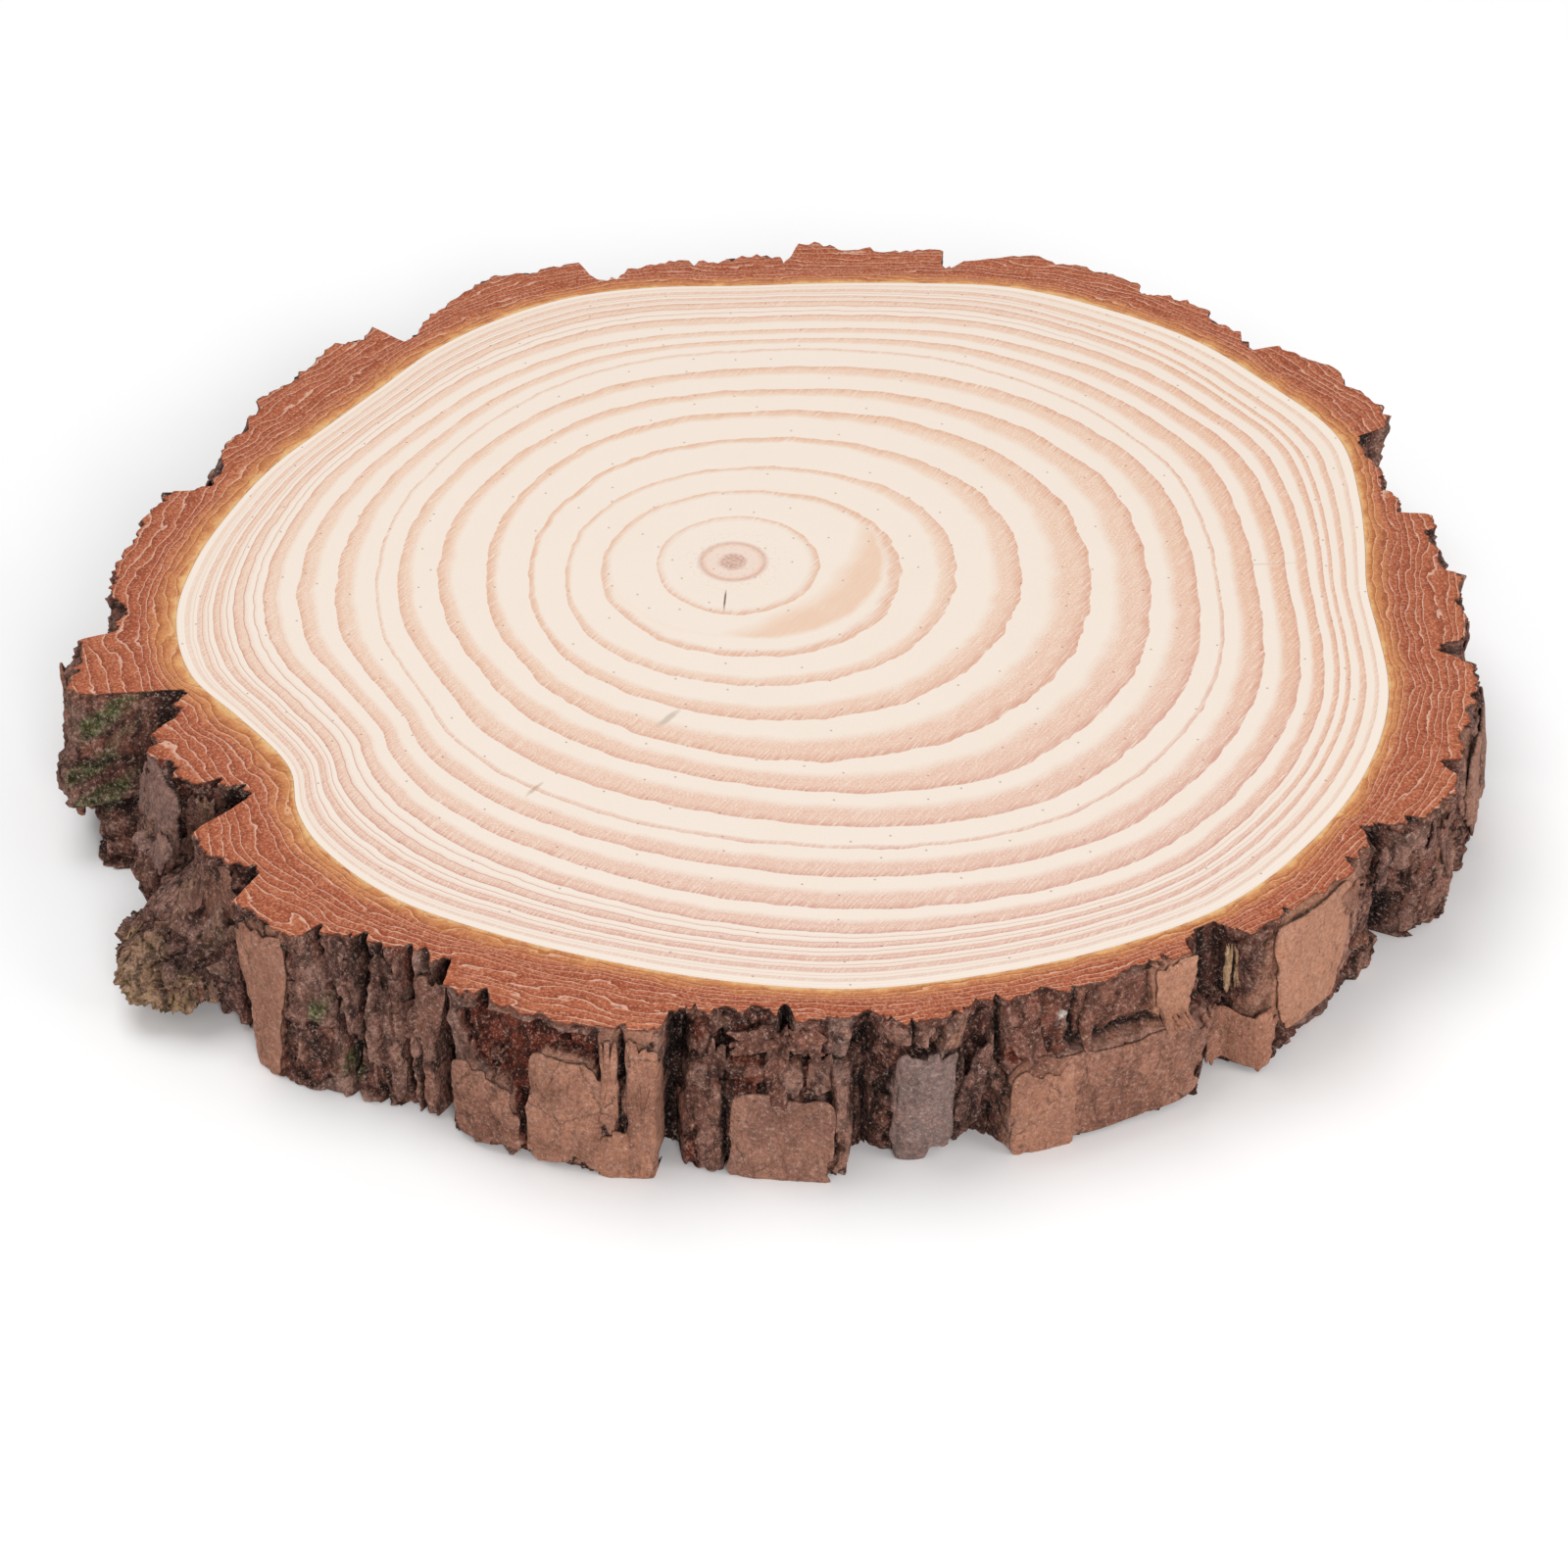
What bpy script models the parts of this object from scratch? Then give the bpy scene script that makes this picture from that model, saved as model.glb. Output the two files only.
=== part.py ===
"""Slice of a young pine trunk, sawn straight across and lying flat, with its bark still on.

Two pieces that grew against each other: the solid disc of wood and the closed ring of bark round it.
Metres, +Z up. The origin is on the underside, in the middle of the slice's outline.
"""
import math

import bpy

MM = 0.001

# Driving dimensions, in millimetres and degrees. Angles run anticlockwise from +X about the pith.
THICKNESS = 20.0
PITH = (-4.9, 5.0)
CAMBIUM_GAP = 0.3
THINNEST_BARK = 1.2
WOOD_STEP = 2.5
BARK_STEP = 2.2
WALL_DEPTHS = (0.0, 5.0, 10.0, 15.0, 20.0)

# Where the wood ends and the bark starts: angle, distance from the pith.
WOOD_EDGE = (
    (-180, 66.2), (-170, 68.1), (-160, 68.0), (-152, 65.6), (-145, 64.6), (-140, 65.4),
    (-135, 69.0), (-130, 71.4), (-120, 73.8), (-110, 74.5), (-100, 75.7), (-90, 77.9),
    (-80, 80.4), (-70, 81.8), (-60, 83.6), (-50, 85.3), (-40, 85.0), (-30, 84.1),
    (-20, 82.2), (-10, 78.8), (-4, 77.6), (3, 78.4), (10, 80.0), (20, 82.5),
    (30, 80.8), (40, 79.8), (50, 77.4), (60, 74.8), (70, 70.2), (80, 66.9),
    (90, 65.2), (100, 65.8), (110, 66.2), (120, 65.0), (130, 63.2), (140, 61.1),
    (150, 60.9), (160, 62.4), (170, 64.0),
)

# One line for each plate of bark, in order round the trunk. First and last angle of the plate.
# Distance of its broken face from the pith at its start, middle and end. How far its foot stands
# out past its top. Depth of the crack that parts its upper and lower scales, and how far the lower
# scale stands out past the upper one. Then the fissure that follows the plate: how near to the
# pith it reaches, and by how many degrees it leans from the top to the underside.
PLATES = (
    (-168.3, -161.0, 80.3, 81.5, 82.6, 3.6, 13.0, -4.5, 71.0, 6.0),
    (-151.9, -144.2, 76.5, 77.2, 75.2, 0.8, 8.5, 3.6, 70.8, 2.0),
    (-142.9, -139.9, 72.4, 71.2, 70.8, 1.0, 8.5, 9.0, 70.4, 1.0),
    (-139.0, -132.8, 79.4, 80.6, 80.2, 1.5, 9.0, 1.2, 76.4, 3.0),
    (-129.8, -123.4, 84.6, 85.0, 84.4, 1.6, 12.0, 0.2, 79.8, 4.5),
    (-122.2, -113.2, 82.9, 81.3, 81.4, 1.9, 8.0, 1.0, 76.0, 1.0),
    (-111.0, -94.7, 84.2, 86.3, 86.0, 0.6, 9.0, 0.5, 79.5, -0.5),
    (-92.2, -81.0, 82.6, 83.6, 85.2, 1.0, 6.0, 2.4, 82.3, -0.6),
    (-78.4, -73.0, 85.7, 87.6, 86.4, -1.4, 4.5, -0.2, 83.6, 0.4),
    (-70.4, -55.4, 86.6, 87.4, 88.4, 0.2, 7.5, 1.8, 86.2, 0.5),
    (-50.6, -40.2, 91.0, 91.2, 90.8, 0.4, 11.0, 0.0, 88.0, 1.0),
    (-39.2, -36.6, 90.2, 90.0, 89.4, -0.8, 7.0, 0.9, 86.4, 3.0),
    (-34.4, -27.0, 92.2, 93.7, 93.4, -0.6, 9.0, 1.0, 89.2, 2.0),
    (-25.0, -13.2, 92.8, 92.0, 90.2, 1.4, 12.0, -0.8, 80.8, 2.0),
    (-10.6, 6.9, 89.5, 88.8, 88.0, 0.6, 10.0, 0.8, 81.8, 0.0),
    (8.2, 18.3, 84.8, 85.3, 86.0, 1.4, 6.0, 1.4, 83.4, 1.0),
    (19.8, 34.7, 90.3, 90.8, 88.0, -0.6, 9.0, 0.9, 81.8, 0.0),
    (36.4, 47.6, 85.4, 86.4, 86.5, 0.8, 13.0, -1.0, 82.0, -1.0),
    (50.4, 66.4, 86.3, 84.8, 78.6, 0.8, 8.0, 1.0, 71.8, -1.0),
    (69.5, 83.8, 79.8, 77.9, 77.5, -0.6, 11.0, 1.2, 70.5, 0.0),
    (85.6, 105.8, 73.2, 72.8, 69.8, 0.8, 7.0, 1.0, 68.2, 1.0),
    (107.1, 130.4, 75.0, 74.0, 67.0, -0.4, 12.0, 1.0, 65.0, 0.0),
    (131.8, 165.4, 72.8, 72.2, 68.8, 0.6, 9.0, 1.0, 67.2, -1.0),
    (168.0, 189.8, 73.8, 75.2, 75.4, 1.6, 7.0, 1.2, 71.0, 1.5),
)

# The broken stub of a dead branch, which stands out of the bark low down on the left.
KNOT_ANGLE = -138.5
KNOT_DEPTH = 13.6
KNOT_CENTRE = 82.4
KNOT_RADIUS = 7.4

# Low waves in the plates' broken faces: height in mm, waves round the trunk, waves through the
# thickness, phase in degrees.
WAVES = ((0.30, 41, 0.9, 0), (0.26, 67, 1.6, 70), (0.20, 103, 2.6, 200))


def smooth_round(points, angle):
    """Value at an angle of a smooth closed curve through (angle, value) points."""
    count = len(points)
    angle = (angle + 180.0) % 360.0 - 180.0
    after = next((i for i, point in enumerate(points) if point[0] > angle), count)
    angles, values = [], []
    for step in range(after - 2, after + 2):
        turns, index = divmod(step, count)
        angles.append(points[index][0] + 360.0 * turns)
        values.append(points[index][1])
    slope_in = (values[2] - values[0]) / (angles[2] - angles[0])
    slope_out = (values[3] - values[1]) / (angles[3] - angles[1])
    span = angles[2] - angles[1]
    t = (angle - angles[1]) / span
    rise = values[2] - values[1]
    bend = 3.0 * rise - span * (2.0 * slope_in + slope_out)
    twist = span * (slope_in + slope_out) - 2.0 * rise
    return values[1] + span * slope_in * t + bend * t * t + twist * t ** 3


def mix(low, high, share):
    return low + (high - low) * share


def through_three(start, middle, end, share):
    """Value of the parabola through three evenly spaced heights."""
    left = (1.0 - share) * (1.0 - 2.0 * share)
    right = share * (2.0 * share - 1.0)
    return start * left + middle * 4.0 * share * (1.0 - share) + end * right


def at(angle, radius, height):
    """Point in metres at an angle in degrees and a radius in mm about the pith."""
    turn = math.radians(angle)
    x = PITH[0] + radius * math.cos(turn)
    y = PITH[1] + radius * math.sin(turn)
    return (x * MM, y * MM, height * MM)


def bark_columns():
    """Upright columns of the bark's face, each with what its plate or fissure gives it."""
    columns = []
    for number, plate in enumerate(PLATES):
        first, last, start, middle, end, foot, crack, step, floor, lean = plate
        before = PLATES[number - 1]
        after = PLATES[(number + 1) % len(PLATES)]
        next_first = after[0] + (360.0 if number == len(PLATES) - 1 else 0.0)
        count = max(2, round((last - first) / BARK_STEP))
        for index in range(count + 1):
            share = index / count
            columns.append({
                "angle": mix(first, last, share),
                "radius": through_three(start, middle, end, share),
                "foot": foot, "crack": crack, "step": step,
                "lean": mix(before[9], lean, share),
            })
        for share in (0.38, 0.62):
            columns.append({
                "angle": mix(last, next_first, share),
                "radius": floor,
                "foot": mix(foot, after[5], share), "crack": mix(crack, after[6], share),
                "step": 0.0, "lean": lean,
            })
    return columns


def relief(angle, depth):
    """Low waves of a plate's broken face, in mm."""
    height = 0.0
    for size, around, through, phase in WAVES:
        turn = math.radians(angle * around + phase)
        height += size * math.sin(turn + 2.0 * math.pi * through * depth / THICKNESS)
    return height


def knot_reach(angle, depth, radius):
    """Radius of the branch stub's dome where it stands out past the bark."""
    along = math.radians(angle - KNOT_ANGLE) * KNOT_CENTRE
    square = KNOT_RADIUS ** 2 - along ** 2 - (depth - KNOT_DEPTH) ** 2
    if square <= 0.0:
        return radius
    return max(radius, KNOT_CENTRE + math.sqrt(square))


def face_points(column):
    """Points of one column of the bark's outer face, from the underside up to the sawn top."""
    crack = column["crack"]
    below = THICKNESS - crack
    depths = [THICKNESS, THICKNESS - 0.1 * below, THICKNESS - 0.4 * below, THICKNESS - 0.7 * below,
              crack + 0.5, crack, 0.55 * crack, 0.12 * crack, 0.0]
    points = []
    for depth in depths:
        share = depth / THICKNESS
        angle = column["angle"] + column["lean"] * share
        radius = column["radius"] + column["foot"] * share + relief(angle, depth)
        if depth > crack:
            radius += column["step"]
        wood = smooth_round(WOOD_EDGE, angle)
        radius = max(radius, wood + CAMBIUM_GAP + THINNEST_BARK)
        radius = knot_reach(angle, depth, radius)
        points.append(at(angle, radius, THICKNESS - depth))
    return points


def wall_point(column, depth):
    """Point of the bark's inner wall, which lies against the wood."""
    angle = column["angle"] + column["lean"] * depth / THICKNESS
    radius = smooth_round(WOOD_EDGE, angle) + CAMBIUM_GAP
    return at(angle, radius, THICKNESS - depth)


def finish(piece, name, colour, roughness):
    """Names a piece, gives it its own material and puts its origin at the world's."""
    piece.name = name
    piece.data.name = name
    material = bpy.data.materials.new(name)
    material.use_nodes = True
    shader = material.node_tree.nodes["Principled BSDF"]
    shader.inputs["Base Color"].default_value = (*colour, 1.0)
    shader.inputs["Roughness"].default_value = roughness
    shader.inputs["Metallic"].default_value = 0.0
    piece.data.materials.clear()
    piece.data.materials.append(material)
    piece.data.shade_smooth()
    piece.data.set_sharp_from_angle(angle=math.radians(35.0))


def make_wood():
    """Disc of wood: a cylinder whose rim is moved out to the cambium's own outline."""
    columns = round(360.0 / WOOD_STEP)
    bpy.ops.mesh.primitive_cylinder_add(vertices=columns, radius=1.0, depth=1.0, end_fill_type="TRIFAN")
    wood = bpy.context.object
    for vertex in wood.data.vertices:
        height = THICKNESS if vertex.co.z > 0.0 else 0.0
        if math.hypot(vertex.co.x, vertex.co.y) < 0.5:
            vertex.co = at(0.0, 0.0, height)
        else:
            angle = math.degrees(math.atan2(vertex.co.y, vertex.co.x))
            vertex.co = at(angle, smooth_round(WOOD_EDGE, angle), height)
    finish(wood, "wood", (0.86, 0.69, 0.51), 0.65)


def make_bark():
    """Ring of bark: a torus whose section is moved to the plates' faces and the inner wall."""
    columns = bark_columns()
    section = len(face_points(columns[0])) + len(WALL_DEPTHS)
    bpy.ops.mesh.primitive_torus_add(major_segments=len(columns), minor_segments=section)
    bark = bpy.context.object
    for number, column in enumerate(columns):
        points = face_points(column) + [wall_point(column, depth) for depth in WALL_DEPTHS]
        for index, point in enumerate(points):
            bark.data.vertices[number * section + index].co = point
    finish(bark, "bark", (0.20, 0.10, 0.07), 0.85)


def main():
    for thing in list(bpy.data.objects):
        bpy.data.objects.remove(thing, do_unlink=True)
    make_wood()
    make_bark()


main()
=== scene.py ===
"""Slice of a young pine trunk with its bark on, as it lies on a pale table in soft studio light."""
import math
import bpy
import numpy as np
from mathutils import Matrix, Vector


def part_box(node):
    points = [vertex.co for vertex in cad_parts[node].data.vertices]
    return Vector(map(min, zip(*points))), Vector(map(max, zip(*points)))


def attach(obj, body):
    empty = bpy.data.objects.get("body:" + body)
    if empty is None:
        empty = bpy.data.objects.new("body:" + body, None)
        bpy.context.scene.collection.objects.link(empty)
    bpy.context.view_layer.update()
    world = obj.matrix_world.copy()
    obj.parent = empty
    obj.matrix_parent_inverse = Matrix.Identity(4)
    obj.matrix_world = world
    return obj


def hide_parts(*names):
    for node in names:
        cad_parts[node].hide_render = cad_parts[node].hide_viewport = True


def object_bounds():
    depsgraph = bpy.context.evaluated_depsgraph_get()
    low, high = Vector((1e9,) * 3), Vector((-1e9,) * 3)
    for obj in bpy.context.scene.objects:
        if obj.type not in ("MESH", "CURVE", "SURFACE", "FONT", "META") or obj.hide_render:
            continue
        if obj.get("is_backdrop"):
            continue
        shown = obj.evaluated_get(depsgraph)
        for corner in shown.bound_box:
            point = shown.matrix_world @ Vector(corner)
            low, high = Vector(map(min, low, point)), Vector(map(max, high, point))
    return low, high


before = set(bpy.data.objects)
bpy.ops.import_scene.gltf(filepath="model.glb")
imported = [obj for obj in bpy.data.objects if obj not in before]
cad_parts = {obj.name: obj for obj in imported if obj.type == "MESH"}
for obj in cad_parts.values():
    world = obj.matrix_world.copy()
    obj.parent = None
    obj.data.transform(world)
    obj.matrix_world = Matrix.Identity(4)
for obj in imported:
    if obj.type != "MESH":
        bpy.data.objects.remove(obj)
cad_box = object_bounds()
bpy.ops.object.select_all(action="DESELECT")


# The table and the light. The slice lies on a plain pale table, in a white room lit by soft boxes.
# The camera looks down on it by 38.5 degrees from about 44 cm, through a long lens, so that the
# growth rings round the pith are as flat as in the photograph.
MM = 0.001
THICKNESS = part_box("wood")[1][2] / MM
PITH = (-4.9, 5.0)
VIEW_PITCH = 38.5
VIEW_DISTANCE = 437.0
VIEW_LENS = 87.75
PITH_IN_VIEW = (-6.29, 44.09)


def linear(colour):
    """Linear RGBA of an sRGB hex colour."""
    parts = [int(colour[i:i + 2], 16) / 255.0 for i in (1, 3, 5)]
    return (*[c / 12.92 if c <= 0.04045 else ((c + 0.055) / 1.055) ** 2.4 for c in parts], 1.0)


def add(tree, kind, inputs=None, **settings):
    """Adds a node, sets its properties, and fills or links its inputs."""
    node = tree.nodes.new(kind)
    for name, value in settings.items():
        setattr(node, name, value)
    for name, value in (inputs or {}).items():
        if isinstance(value, bpy.types.Node):
            value = value.outputs[0]
        if isinstance(value, bpy.types.NodeSocket):
            tree.links.new(value, node.inputs[name])
        else:
            node.inputs[name].default_value = value
    return node


tilt = math.radians(VIEW_PITCH)
target = (PITH[0] - PITH_IN_VIEW[0], PITH[1] - PITH_IN_VIEW[1], THICKNESS)
bpy.ops.object.camera_add(
    location=(target[0] * MM,
              (target[1] - VIEW_DISTANCE * math.cos(tilt)) * MM,
              (target[2] + VIEW_DISTANCE * math.sin(tilt)) * MM),
    rotation=(math.pi / 2 - tilt, 0.0, 0.0))
camera = bpy.context.object
camera.data.lens = VIEW_LENS
camera.data.sensor_width = 36.0
camera.data.clip_start = 0.01
bpy.context.scene.camera = camera

bpy.ops.mesh.primitive_plane_add(size=6.0)
table = bpy.context.object
table.name = "table"
paper = bpy.data.materials.new("matt white laminate")
paper.use_nodes = True
paper.node_tree.nodes["Principled BSDF"].inputs["Base Color"].default_value = linear("#FDFDFD")
paper.node_tree.nodes["Principled BSDF"].inputs["Roughness"].default_value = 0.9
table.data.materials.append(paper)
table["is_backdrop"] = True

world = bpy.data.worlds.new("white room")
world.use_nodes = True
world.node_tree.nodes["Background"].inputs["Color"].default_value = linear("#FFFFFF")
world.node_tree.nodes["Background"].inputs["Strength"].default_value = 0.50
bpy.context.scene.world = world
bpy.context.scene.view_settings.view_transform = "Standard"

# Place, aim, size in metres and watts of each soft box.
SOFT_BOXES = (
    ((-0.25, 0.25, 0.95), (0.0, 0.0, 0.0), 0.7, 4.2),
    ((0.20, -0.98, 0.55), (0.0, -0.05, 0.0), 0.4, 4.3),
    ((0.80, -0.40, 0.45), (0.0, 0.0, 0.0), 0.5, 2.0),
)
for number, (place, aim, size, power) in enumerate(SOFT_BOXES):
    bpy.ops.object.light_add(type="AREA", location=place)
    box = bpy.context.object
    box.name = f"soft_box_{number}"
    box.data.shape = "DISK"
    box.data.size = size
    box.data.energy = power
    away = np.array(place) - np.array(aim)
    flat = math.hypot(away[0], away[1])
    box.rotation_euler = (math.atan2(flat, away[2]), 0.0, math.atan2(away[0], -away[1]))


# The wood: one disc of young pine, sawn across and sanded, with sixteen growth rings round the pith.
# Each ring is pale soft earlywood that darkens outwards into pinkish latewood and ends sharply. The
# rings are narrow towards the upper left and broad towards the lower right, where the trunk leaned.
WOOD_EDGE = np.array((
    (-180, 66.2), (-170, 68.1), (-160, 68.0), (-152, 65.6), (-145, 64.6), (-140, 65.4),
    (-135, 69.0), (-130, 71.4), (-120, 73.8), (-110, 74.5), (-100, 75.7), (-90, 77.9),
    (-80, 80.4), (-70, 81.8), (-60, 83.6), (-50, 85.3), (-40, 85.0), (-30, 84.1),
    (-20, 82.2), (-10, 78.8), (-4, 77.6), (3, 78.4), (10, 80.0), (20, 82.5),
    (30, 80.8), (40, 79.8), (50, 77.4), (60, 74.8), (70, 70.2), (80, 66.9),
    (90, 65.2), (100, 65.8), (110, 66.2), (120, 65.0), (130, 63.2), (140, 61.1),
    (150, 60.9), (160, 62.4), (170, 64.0),
), float)

# Outer end of each ring as a share of the way from the pith to the bark, in six directions.
RING_DIRECTIONS = (-140, -90, -50, 20, 90, 180)
RING_SHARES = (
    (0.000, 0.000, 0.000, 0.000, 0.000, 0.000),
    (0.061, 0.051, 0.047, 0.048, 0.061, 0.060),
    (0.154, 0.143, 0.128, 0.126, 0.149, 0.140),
    (0.269, 0.254, 0.251, 0.240, 0.235, 0.243),
    (0.350, 0.326, 0.322, 0.325, 0.315, 0.308),
    (0.424, 0.405, 0.415, 0.420, 0.418, 0.379),
    (0.502, 0.495, 0.524, 0.521, 0.516, 0.463),
    (0.579, 0.559, 0.619, 0.609, 0.595, 0.550),
    (0.655, 0.638, 0.697, 0.687, 0.676, 0.624),
    (0.702, 0.693, 0.738, 0.723, 0.745, 0.664),
    (0.759, 0.754, 0.804, 0.783, 0.785, 0.733),
    (0.811, 0.826, 0.866, 0.837, 0.824, 0.800),
    (0.860, 0.880, 0.908, 0.876, 0.878, 0.860),
    (0.916, 0.914, 0.928, 0.910, 0.933, 0.908),
    (0.945, 0.942, 0.946, 0.928, 0.951, 0.939),
    (0.979, 0.966, 0.969, 0.956, 0.977, 0.962),
    (0.990, 0.985, 0.985, 0.983, 0.990, 0.985),
    (1.000, 1.000, 1.000, 1.000, 1.000, 1.000),
)
# How dark each ring's latewood is, and the share of the ring that it takes on the ring's narrow
# side and on its broad side.
RING_TONE = (.6, .7, .8, .75, .9, 1., 1., 1., .6, 1., 1., 1., .95, 1., .9, .9, .5)
LATE_NARROW = (.2, .08, .12, .14, .16, .26, .32, .38, .15, .5, .5, .52, .5, .55, .55, .5, .35)
LATE_BROAD = (.2, .12, .15, .35, .45, .58, .62, .62, .2, .62, .6, .58, .45, .5, .5, .4, .2)
BROAD_SIDE = -45.0
WOOD_COLUMNS = 480
RING_STATIONS = (0.02, 0.3, 0.55, 0.8, 0.98)
HEART_STATIONS = (0.3, 0.6, 0.8, 0.98)
# Sixteen rings are full grown, and a last one has just begun under the bark.
OLDEST = len(RING_TONE)


def round_curve(points, angle):
    """Values at many angles of a smooth closed curve through (angle, value) points."""
    points = np.asarray(points, float)
    turns = np.concatenate([points[:, 0] + 360.0 * k for k in (-1, 0, 1)])
    values = np.tile(points[:, 1], 3)
    slopes = (np.roll(values, -1) - np.roll(values, 1)) / (np.roll(turns, -1) - np.roll(turns, 1))
    angle = (np.asarray(angle, float) + 180.0) % 360.0 - 180.0
    after = np.searchsorted(turns, angle, side="right")
    before = after - 1
    span = turns[after] - turns[before]
    t = (angle - turns[before]) / span
    rise = values[after] - values[before]
    bend = 3.0 * rise - span * (2.0 * slopes[before] + slopes[after])
    twist = span * (slopes[before] + slopes[after]) - 2.0 * rise
    return values[before] + span * slopes[before] * t + bend * t ** 2 + twist * t ** 3


# Lattice lines of the noise in y, after which it repeats.
NOISE_LINES = 97


def noise(x, y, period, seed):
    """Smooth random heights from -1 to 1, which close after period lattice steps in x."""
    heights = np.random.default_rng(seed).uniform(-1.0, 1.0, (period, NOISE_LINES))
    left, low = np.floor(x).astype(int), np.floor(y).astype(int)
    u, v = x - left, y - low
    u, v = u * u * (3.0 - 2.0 * u), v * v * (3.0 - 2.0 * v)
    corner = [[heights[(left + i) % period, (low + j) % NOISE_LINES] for j in (0, 1)]
              for i in (0, 1)]
    return ((corner[0][0] * (1 - v) + corner[0][1] * v) * (1 - u)
            + (corner[1][0] * (1 - v) + corner[1][1] * v) * u)


# The girth in mm round which the grain of all relief is laid out.
GIRTH = 534.0


def rough(angle, along, wide, tall, seed, octaves=1):
    """Random heights on the trunk: angle in degrees, along and the grain's size in mm."""
    period = max(3, round(GIRTH / wide))
    total, weight = 0.0, 0.0
    for octave in range(octaves):
        double = 2 ** octave
        layer = noise(angle / 360.0 * period * double, along / tall * double, period * double,
                      seed + octave)
        total, weight = total + layer / double, weight + 1.0 / double
    return total / weight


def smooth(low, high, value):
    """Smooth step from 0 at low to 1 at high."""
    t = np.clip((value - low) / (high - low), 0.0, 1.0)
    return t * t * (3.0 - 2.0 * t)


def place(angle, radius, height):
    """Points in metres at angles in degrees and radii in mm about the pith."""
    turn = np.radians(angle)
    x = PITH[0] + radius * np.cos(turn)
    y = PITH[1] + radius * np.sin(turn)
    return np.stack([x, y, height + 0.0 * x], axis=-1) * MM


def ring_radius(age, angle):
    """Distance from the pith of the wood of a given age, in rings, in each direction."""
    ring = min(int(age), len(RING_SHARES) - 2)
    shares = [round_curve(list(zip(RING_DIRECTIONS, RING_SHARES[k])), angle)
              for k in (ring, ring + 1)]
    share = shares[0] + (shares[1] - shares[0]) * (age - ring)
    edge = round_curve(WOOD_EDGE, angle)
    calm_points = [(d, float(round_curve(WOOD_EDGE, d))) for d in RING_DIRECTIONS]
    calm = round_curve(calm_points, angle)
    wander = 0.55 * rough(angle, age, 60.0, 3.0, 11, 2) * np.sin(np.pi * min(share.mean(), 1.0))
    return share * (calm + (edge - calm) * share ** 3) + wander


# Points of a skin that are nearer than this, in metres, are one.
SAME_SPOT = 1e-6


def skin(name, spots, looks, closed):
    """A skin through rows of points that each go round the trunk. It closes round the trunk, and
    either over its section too or in a pole at each end. Looks are numbers kept for the material."""
    tall = 1 if closed else 0

    def wrapped(values):
        values = np.concatenate([values, values[:, :1]], axis=1)
        return np.concatenate([values, values[:tall]], axis=0)

    bpy.ops.object.select_all(action="DESELECT")
    rows, across = spots.shape[:2]
    bpy.ops.mesh.primitive_grid_add(x_subdivisions=across, y_subdivisions=rows - 1 + tall)
    piece = bpy.context.object
    piece.name = name
    piece.data.vertices.foreach_set("co", wrapped(spots).astype(np.float32).ravel())
    for look, values in looks.items():
        layer = piece.data.attributes.new(look, "FLOAT", "POINT")
        layer.data.foreach_set("value", wrapped(values).astype(np.float32).ravel())
    piece.data.update()
    bpy.ops.object.mode_set(mode="EDIT")
    bpy.ops.mesh.select_all(action="SELECT")
    bpy.ops.mesh.remove_doubles(threshold=SAME_SPOT)
    bpy.ops.object.mode_set(mode="OBJECT")
    return piece


# Each row of points goes round at an age, at a height and with an inset: over the underside from
# the pole outwards, up the rim and back over the top.
ages = [*HEART_STATIONS] + [ring + part for ring in range(1, OLDEST) for part in RING_STATIONS]
LIP = 0.03
CUT_CLEARANCE = 0.14
stations = ([(0.0, 0.0, 0.0)] + [(age, 0.0, 0.0) for age in ages]
            + [(OLDEST, 0.0, -LIP), (OLDEST, LIP, 0.0)]
            + [(OLDEST, THICKNESS - LIP, 0.0), (OLDEST, THICKNESS, -LIP)]
            + [(age, THICKNESS, 0.0) for age in reversed(ages)] + [(0.0, THICKNESS, 0.0)])
turn = np.linspace(-180.0, 180.0, WOOD_COLUMNS, endpoint=False)
broad = 0.5 + 0.5 * np.cos(np.radians(turn - BROAD_SIDE))
spots, looks = [], {"age": [], "late": [], "tone": []}
for age, height, inset in stations:
    ring = min(int(age), OLDEST - 1)
    spots.append(place(turn, ring_radius(age, turn) + CUT_CLEARANCE * age / OLDEST + inset, height))
    narrow_late, broad_late = LATE_NARROW[ring], LATE_BROAD[ring]
    looks["age"].append(age + 0.0 * turn)
    looks["late"].append(narrow_late + (broad_late - narrow_late) * smooth(0.1, 0.8, broad))
    looks["tone"].append(RING_TONE[ring] * (0.8 + 0.2 * broad))
wood = skin("wood_disc", np.array(spots), {k: np.array(v) for k, v in looks.items()}, closed=False)
bpy.ops.object.shade_smooth_by_angle(angle=math.radians(35))

# Bare pine end grain, sanded but not oiled: matt, cream where the cells are wide, orange to pink
# where they are thick, with the sander's fine strokes across the rings, resin canals like pin
# pricks, and a soft brown pith. Canals are drawn half as wide again as they are.
pine = bpy.data.materials.new("sanded pine end grain")
pine.use_nodes = True
tree = pine.node_tree
STROKE_ANGLE = 57.0
STROKE_WIDTH, STROKE_LENGTH = 0.15, 3.5
CANAL_SPACING, CANAL_RADIUS = 4.6, 0.18
PITH_RADIUS = 1.7
# Sockets of the mix node for colours, whose names it has for numbers and vectors too.
MIX_FIRST, MIX_SECOND, MIX_RESULT = 6, 7, 2


def blend(share, first, second):
    """Colour between two colours, each a hex value or a socket."""
    ends = [linear(colour) if isinstance(colour, str) else colour for colour in (first, second)]
    mix = add(tree, "ShaderNodeMix", {"Factor": share, MIX_FIRST: ends[0], MIX_SECOND: ends[1]},
              data_type="RGBA")
    return mix.outputs[MIX_RESULT]


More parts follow.
